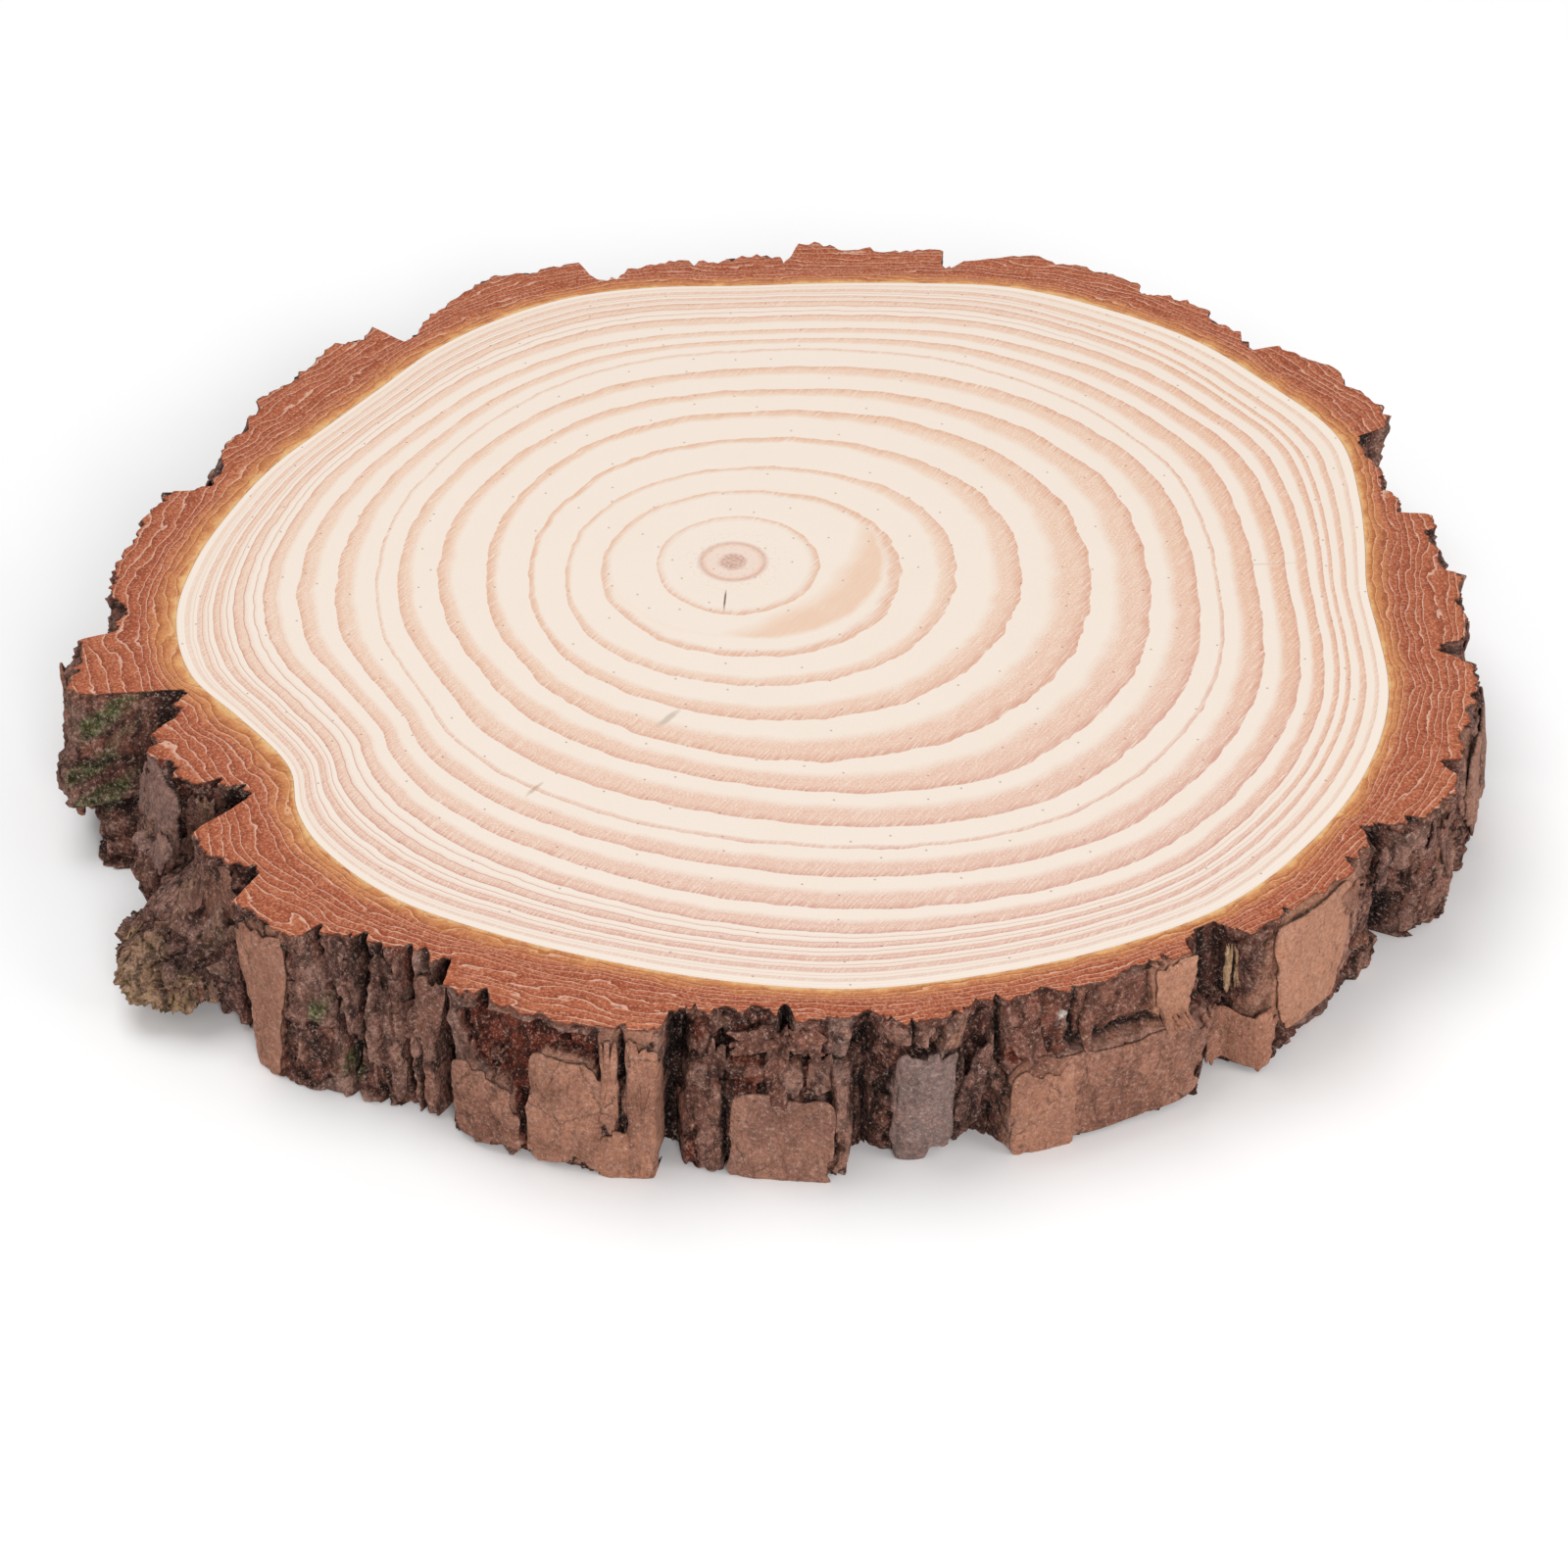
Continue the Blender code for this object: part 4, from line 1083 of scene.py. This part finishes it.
# The smoothest scales are thick enough to stand off their plates with an edge of their own.
SMOOTHEST = 0.7
SCALE_THICKNESS, SCALE_OUT = 0.9, 0.3
flakes = []
for first, last, top, bottom, out, narrow, *shades in SCALES:
    if shades[0] >= SMOOTHEST:
        flakes.append(flake(len(flakes), 0.5 * (first + last), 0.5 * (top + bottom),
                            arc_of(0.5 * (last - first)), 0.5 * (bottom - top), SCALE_THICKNESS,
                            0.0, 0.0, 0.0, narrow, (*shades, 0.0),
                            lambda true, depth, out=out: plate_base(true, depth) + out + SCALE_OUT))
for angle, depth, radius, wide, tall, thick, turned, lean, tip, *shades in FLAKES:
    flakes.append(flake(len(flakes), angle, depth, wide, tall, thick, turned, lean, tip, 0.0, shades,
                        lambda true, depth, radius=radius: radius + 0.0 * true))

# Small thin leaves of cork stand off the rough stretches of the front and more thinly of the back,
# and curl thickly about the branch stump. Each kind has a number, and ranges to draw from: angle,
# depth, half width, half height, turn, leans to the right and downwards, then how smooth, warm,
# grey, peeled and straw coloured it is. Nothing is drawn where a value is always 0.
LEAVES = (
    (105, (-172.0, 0.0), (2.0, 18.0), (0.6, 1.7), (1.4, 4.2), (-16, 16), (-0.4, 0.4), (-0.1, 0.2),
     (0.15, 0.6), (0.0, 0.3), (0.0, 0.35), (0.0, 0.25), None),
    (35, (0.0, 178.0), (2.0, 18.0), (0.6, 1.7), (1.4, 4.2), (-16, 16), (-0.4, 0.4), (-0.1, 0.2),
     (0.15, 0.6), (0.0, 0.3), (0.0, 0.35), (0.0, 0.25), None),
    (70, (-153.0, -127.0), (4.0, 17.0), (0.6, 1.9), (1.4, 3.8), (-75, 75), (-0.6, 0.6), (-0.3, 0.5),
     (0.1, 0.5), None, (0.0, 0.5), (0.0, 0.1), (0.0, 0.25)),
)
LEAF_THICKNESS, LEAF_OUT = 0.6, (0.0, 0.5)
SCALE_MARGIN = (0.6, 1.5)
draw = np.random.default_rng(77)
ground = blur(face_radius, 8)


def ground_radius(true, depth):
    """Radius of the bark's outer face, without its crumbs."""
    column = np.interp(upright(true, depth), columns, np.arange(BARK_COLUMNS))
    row = np.interp(depth, depths[::-1], np.arange(FACE_ROWS)[::-1])
    return ground[np.rint(row).astype(int), np.rint(column).astype(int)]


def on_smooth_scale(angle, depth):
    """Whether a spot lies on or beside one of the smoothest scales."""
    aside, above = SCALE_MARGIN
    return any(first - aside < angle < last + aside and top - above < depth < bottom + above
               and flat >= SMOOTHEST for first, last, top, bottom, _, _, flat, *_ in SCALES)


for count, *ranges in LEAVES:
    for _ in range(count):
        angle, depth, wide, tall, turned, lean, tip, *shades = [
            draw.uniform(*ends) if ends else 0.0 for ends in ranges]
        out = draw.uniform(*LEAF_OUT)
        in_gap = float(plate_value(WALL, upright(angle, depth))) > 0.6
        if not on_smooth_scale(angle, depth) and not in_gap:
            flakes.append(flake(len(flakes), angle, depth, wide, tall, LEAF_THICKNESS, turned, lean,
                                tip, 0.0, shades,
                                lambda true, depth, out=out: ground_radius(true, depth) + out,
                                LEAF_SIDES, LEAF_ROWS))

# The branch stump is a lump with a crumbled skin, and straw coloured fibres lie on its lower left.
# Its middle: angle, radius and depth. Its half sizes: outwards, round the trunk and upwards. The
# fibres' ranges: out, half width, half height, turn, leans to the right and downwards, straw.
STUMP_ANGLE, STUMP_RADIUS, STUMP_DEPTH = -137.6, 84.9, 14.0
STUMP_OUT, STUMP_ASIDE, STUMP_UP = 6.2, 6.3, 5.2
FIBRES, FIBRE_THICKNESS = 70, 0.3
FIBRE_RANGES = ((0.0, 0.7), (0.15, 0.4), (0.8, 2.4), (-80, 80), (-0.3, 0.3), (-0.2, 0.2), (0.4, 1.0))


def dome_base(true, depth):
    aside = np.radians(true - STUMP_ANGLE) * FLAKE_CIRCLE / STUMP_ASIDE
    down = (depth - STUMP_DEPTH) / STUMP_UP
    return STUMP_RADIUS + STUMP_OUT * np.sqrt(np.maximum(1.0 - aside ** 2 - down ** 2, 0.1))


for _ in range(FIBRES):
    aside, down = draw.uniform(-0.6, 0.85), draw.uniform(-0.75, 0.8)
    if aside ** 2 + down ** 2 < 0.7 and aside < 0.8 * down + 0.3:
        out, wide, tall, turned, lean, tip, straw = [draw.uniform(*ends) for ends in FIBRE_RANGES]
        flakes.append(flake(len(flakes), STUMP_ANGLE + math.degrees(STUMP_ASIDE * aside / FLAKE_CIRCLE),
                            STUMP_DEPTH + STUMP_UP * down, wide, tall, FIBRE_THICKNESS, turned, lean,
                            tip, 0.0, (0.5, 0.2, 0.0, 0.0, straw),
                            lambda true, depth, out=out: dome_base(true, depth) + out,
                            FIBRE_SIDES, LEAF_ROWS))
joined("bark_flakes", flakes)

# The lump's relief is laid out on its own girth, a fifteenth of the trunk's.
GIRTH_SHARE = 15.0
STUMP_COLUMNS, STUMP_ROWS = 150, 76
around, up_angle = np.meshgrid(np.linspace(-180.0, 180.0, STUMP_COLUMNS, endpoint=False),
                               np.linspace(-90.0, 90.0, STUMP_ROWS))
level, aside = np.cos(np.radians(up_angle)), np.radians(around)
along = (up_angle + 90.0) * 0.2
bend = 1.2 * rough(around, along, 4.0 * GIRTH_SHARE, 4.0, 601, 3)
gap, facet, pick = cells(around + 14.0 * bend, along + 1.6 * bend, 3.4 * GIRTH_SHARE, 4.6, 603)
curl = rough(around + 10.0 * bend, along + 2.0 * bend, 1.1 * GIRTH_SHARE, 3.2, 605, 3)
curl = 1.0 - np.abs(curl) * 2.4
fibre = rough(around + 24.0 * bend, along + 3.0 * bend, 0.8 * GIRTH_SHARE, 5.0, 607, 2)
fibre = 1.0 - np.abs(fibre) * 2.5
swollen = 0.30 * bend + 0.07 * facet + 0.14 * curl + 0.06 * fibre - 0.14 * smooth(0.12, 0.0, gap)
swollen = 1.0 + level ** 0.5 * swollen
turn_at = math.radians(STUMP_ANGLE)
outward = STUMP_RADIUS + STUMP_OUT * swollen * level * np.cos(aside)
sideways = STUMP_ASIDE * swollen * level * np.sin(aside)
upward = STUMP_UP * swollen * np.sin(np.radians(up_angle))
spots = np.stack([PITH[0] + outward * math.cos(turn_at) - sideways * math.sin(turn_at),
                  PITH[1] + outward * math.sin(turn_at) + sideways * math.cos(turn_at),
                  np.maximum(THICKNESS - STUMP_DEPTH + upward, 0.1)], axis=-1) * MM
straw = 0.8 * np.cos(np.radians(around - 8.0)) - 0.6 * np.sin(np.radians(up_angle)) + 0.8 * bend
straw = smooth(0.15, 0.9, straw)
nothing = 0.0 * gap
# Painted shade in the gaps between the crumbs and painted highlight on the curls and fibres; where it
# has no straw the lump is darkened with painted shade too.
looks = {"straw": 0.85 * straw, "seam": 0.7 * smooth(0.07, 0.0, gap), "smooth": 0.15 + nothing,
         "cavity": 0.9 * smooth(0.12, 0.0, gap) - 0.5 * curl - 0.4 * fibre,
         "grey": 0.5 * pick[..., 0] * (1.0 - straw), "sunk": 0.45 * (1.0 - straw),
         "rim": 3.0 + 4.0 * swollen}
looks.update({name: nothing for name in ("warm", "peel", "moss", "lichen", "sawn")})
joined("branch_stump", [skin("stump", spots, looks, closed=False)])


# Both boxes, of the solids that the slice dresses and of the slice as shown, are left as the script's
# last value. The slice's size must stay that of the solids it dresses.
def plain(box):
    return [[float(number) for number in corner] for corner in box]


{"cad": plain(cad_box), "visual": plain(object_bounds())}
